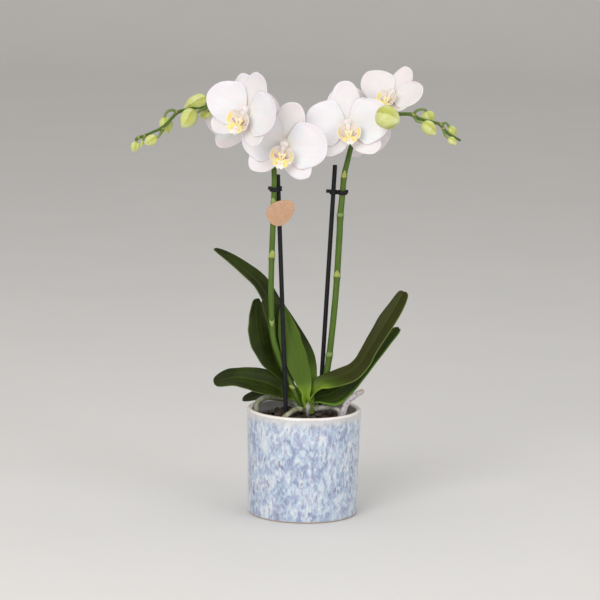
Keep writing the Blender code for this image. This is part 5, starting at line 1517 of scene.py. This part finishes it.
@cache
def kraft_card():
    """Brown card with long fibres and a few dark flecks."""
    n = Paint("kraft card", Specular_IOR_Level=0.25)
    fibres = n.noise((300, 900, 1500), 6.0, 0.7, 1.0, (0, 0.6, 0))
    n.base(n.band(fibres, 0.35, 0.68), (0.44, 0.26, 0.155), (0.56, 0.355, 0.235))
    n.layer((0.66, 0.44, 0.29), n.band(n.noise(160, 3.0), 0.4, 0.7), 0.25)
    n.layer((0.25, 0.14, 0.08), n.band(n.cells((700, 700, 1600)), 0.14, 0.05), 0.5)
    return n.done(0.85, n.bump(fibres, 0.0003, 0.5))


# Floor, light and camera


def make_floor():
    """A pale floor that sweeps up into a backdrop."""
    profile = [(-FLOOR_FRONT, 0.0)]
    profile += arc((SWEEP_START, SWEEP_RADIUS), SWEEP_RADIUS, -90, 0, 18)
    profile.append((SWEEP_START + SWEEP_RADIUS, BACKDROP_HEIGHT))
    points = [(x, y, z) for y, z in profile for x in (-FLOOR_HALF_WIDTH, FLOOR_HALF_WIDTH)]
    faces = [(2 * i, 2 * i + 1, 2 * i + 3, 2 * i + 2) for i in range(len(profile) - 1)]
    mesh = bpy.data.meshes.new("floor")
    mesh.from_pydata(points, [], faces)
    mesh.shade_smooth()
    n = Paint("studio floor")
    n.base(n.noise(6, 3.0), (0.73, 0.72, 0.70), (0.77, 0.76, 0.74))
    mesh.materials.append(n.done(0.75))
    floor = bpy.data.objects.new("floor", mesh)
    bpy.context.scene.collection.objects.link(floor)


def area_light(name, place, aim, size, power, colour):
    data = bpy.data.lights.new(name, "AREA")
    data.shape = "DISK"
    data.size = size
    data.energy = power
    data.color = colour
    light = bpy.data.objects.new(name, data)
    light.location = place
    light.rotation_mode = "QUATERNION"
    light.rotation_quaternion = (Vector(aim) - Vector(place)).to_track_quat("-Z", "Y")
    bpy.context.scene.collection.objects.link(light)


def light_studio():
    world = bpy.data.worlds.new("studio")
    world.use_nodes = True
    world.node_tree.nodes["Background"].inputs["Color"].default_value = WORLD_COLOUR
    world.node_tree.nodes["Background"].inputs["Strength"].default_value = WORLD_STRENGTH
    bpy.context.scene.world = world
    for name, light in LIGHTS.items():
        area_light(name, *light)


def make_camera():
    """The photograph's viewpoint: a long lens, a little above the pot, rolled slightly."""
    elevation = math.radians(CAMERA_ELEVATION)
    roll = math.radians(CAMERA_ROLL)
    right = CAMERA_SHIFT_X * math.cos(roll) - CAMERA_SHIFT_Y * math.sin(roll)
    raised = CAMERA_SHIFT_Y * math.cos(roll) + CAMERA_SHIFT_X * math.sin(roll)
    target = Vector((right, 0, POT_HEIGHT + raised / math.cos(elevation)))
    back = Vector((0, -math.cos(elevation), math.sin(elevation)))
    data = bpy.data.cameras.new("camera")
    data.sensor_width = 36
    data.lens = data.sensor_width * CAMERA_DISTANCE / VIEW_WIDTH
    camera = bpy.data.objects.new("camera", data)
    turn = (-back).to_track_quat("-Z", "Y").to_matrix().to_4x4()
    place = Matrix.Translation(target + back * CAMERA_DISTANCE)
    camera.matrix_world = place @ turn @ Matrix.Rotation(roll, 4, "Z")
    bpy.context.scene.collection.objects.link(camera)
    bpy.context.scene.camera = camera
    bpy.context.scene.view_settings.view_transform = "Standard"


def build():
    make_pot()
    make_bark()
    make_crown()
    for number, name in enumerate(LEAVES):
        make_leaf(name, number)
    for number, name in enumerate(ROOTS):
        make_root(name, number)
    for name in SPIKES:
        make_spike(name)
    for number, name in enumerate(BLOOMS):
        make_bloom(name, number)
        make_lip(name)
    for name in STAKES:
        make_stake(name)
    for name in CLIPS:
        make_clip(name)
    make_tag()
    culture_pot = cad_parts["grow_pot"]
    culture_pot.data.materials.clear()
    culture_pot.data.materials.append(clear_plastic())


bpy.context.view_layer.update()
build()
make_floor()
light_studio()
make_camera()
